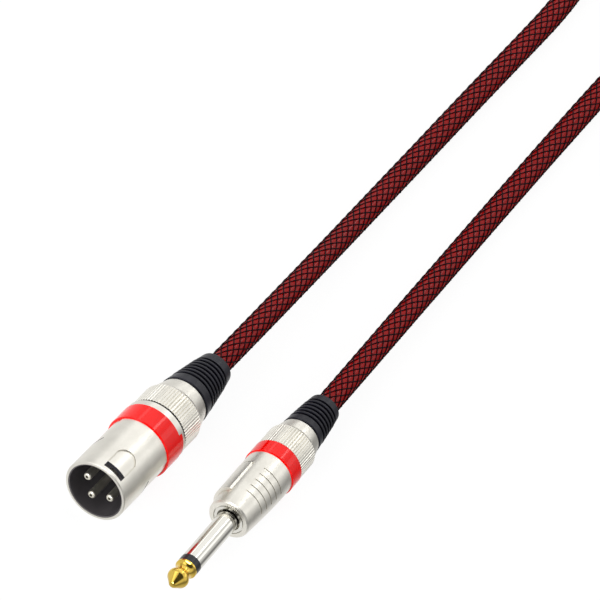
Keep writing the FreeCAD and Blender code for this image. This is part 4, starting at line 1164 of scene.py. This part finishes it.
    def room(self) -> None:
        """Lights the scene all round: pale overhead, darker at the horizon and darkest to the right."""
        world = bpy.data.worlds.new("studio_room")
        bpy.context.scene.world = world
        world.use_nodes = True
        tree = world.node_tree
        tree.nodes.clear()
        way = add_node(tree, "ShaderNodeTexCoord").outputs["Generated"]
        parts = add_node(tree, "ShaderNodeSeparateXYZ", {"Vector": way})
        level = add_node(
            tree,
            "ShaderNodeMapRange",
            {
                "Value": parts.outputs["Z"],
                "From Min": self.zenith_band[0],
                "From Max": self.zenith_band[1],
                "To Min": self.horizon(tree, parts.outputs["X"]),
                "To Max": self.zenith,
            },
            interpolation_type="SMOOTHSTEP",
        )
        towards = add_node(tree, "ShaderNodeVectorMath", {0: way, 1: self.camera_way}, operation="DOT_PRODUCT")
        shade = add_node(
            tree,
            "ShaderNodeMapRange",
            {
                "Value": towards.outputs["Value"],
                "From Min": math.cos(math.radians(self.shade_angles[0])),
                "From Max": math.cos(math.radians(self.shade_angles[1])),
                "To Min": 1.0,
                "To Max": 1.0 - self.camera_shade,
            },
            interpolation_type="SMOOTHSTEP",
        )
        level = add_node(tree, "ShaderNodeMath", {0: level.outputs[0], 1: shade.outputs[0]}, operation="MULTIPLY")
        light = add_node(tree, "ShaderNodeBackground", {"Color": linear("#FFFFFF"), "Strength": level.outputs[0]})
        add_node(tree, "ShaderNodeOutputWorld", {"Surface": light.outputs[0]})

    def build(self) -> None:
        """Makes the floor, the room and the soft boxes."""
        self.floor()
        self.room()
        for box in self.boxes:
            box.build()


@dataclass
class PhotoCamera:
    """The camera at the photograph's angle: 48 degrees down along +Y, rolled so that the cords run up to the right.

    Attributes:
        pitch: How far it looks down, in degrees.
        roll_along: Image direction of the cords, right and up.
        scale: Image pixels for a metre at the plugs.
        distance: From the plugs.
        anchor: A point of the object.
        anchor_pixel: Where the anchor lies in the image, right and down.
        frame_pixels: Side of the square image.
        sensor: Sensor width in millimetres.
        clip: Nearest and furthest distance that it sees.
    """

    pitch: float = 48.0
    roll_along: tuple[float, float] = (0.69966, 0.71447)
    scale: float = 3650.0
    distance: float = 5.0
    anchor: Point = (-0.01418, -0.00833, 0.0099)
    anchor_pixel: tuple[float, float] = (155.6, 429.3)
    frame_pixels: int = 600
    sensor: float = 36.0
    clip: tuple[float, float] = (0.1, 200.0)

    def build(self) -> bpy.types.Object:
        """Places the camera and makes it the scene's.

        Returns:
            The camera's object.
        """
        down = math.radians(self.pitch)
        forward = Vector((0.0, math.cos(down), -math.sin(down)))
        upward = Vector((0.0, math.sin(down), math.cos(down)))
        sideways = Vector((1.0, 0.0, 0.0))
        cos_roll, sin_roll = self.roll_along
        right = sideways * sin_roll + upward * cos_roll
        up = upward * sin_roll - sideways * cos_roll
        centre = self.frame_pixels / 2
        offset_right = (self.anchor_pixel[0] - centre) / self.scale
        offset_up = (centre - self.anchor_pixel[1]) / self.scale
        target = Vector(self.anchor) - right * offset_right - up * offset_up
        data = bpy.data.cameras.new("photo_camera")
        data.sensor_width = self.sensor
        data.lens = self.scale * self.distance * self.sensor / self.frame_pixels
        data.clip_start, data.clip_end = self.clip
        camera = bpy.data.objects.new("photo_camera", data)
        camera.location = target - forward * self.distance
        camera.rotation_euler = Matrix((right, up, -forward)).transposed().to_euler()
        bpy.context.scene.collection.objects.link(camera)
        bpy.context.scene.camera = camera
        return camera


def main() -> None:
    """Builds the scene in order."""
    logging.basicConfig(level=logging.INFO, format="%(name)s: %(message)s")
    bpy.context.scene.view_settings.view_transform = "Standard"
    PhotoCamera().build()
    Studio().build()
    NettedCord().build()
    made: dict[str, bpy.types.Material] = {}
    for plug in (XLR_PLUG, JACK_PLUG):
        LOG.info("%s plug: %d nodes dressed", plug.prefix, plug.dress(made))
    # Painted shade: a black sheet that darkens the latch window's walls
    WindowShadeSheet().build(made[BOOT_RUBBER.name])
    # Painted shade: a black ring that darkens the gap between the shell's rim and the nut
    NutGapShade().build(made[BOOT_RUBBER.name])
    # Painted shade: black strips along the side pockets' front edges
    PocketShadeStrips().build(made[BOOT_RUBBER.name])
    tape = STRAP_NYLON.material()
    for node in ("coil_tie_near", "coil_tie_far"):
        LOG.info("%s made", CoilStrap(node).build(tape).name)


if __name__ == "__main__":
    main()
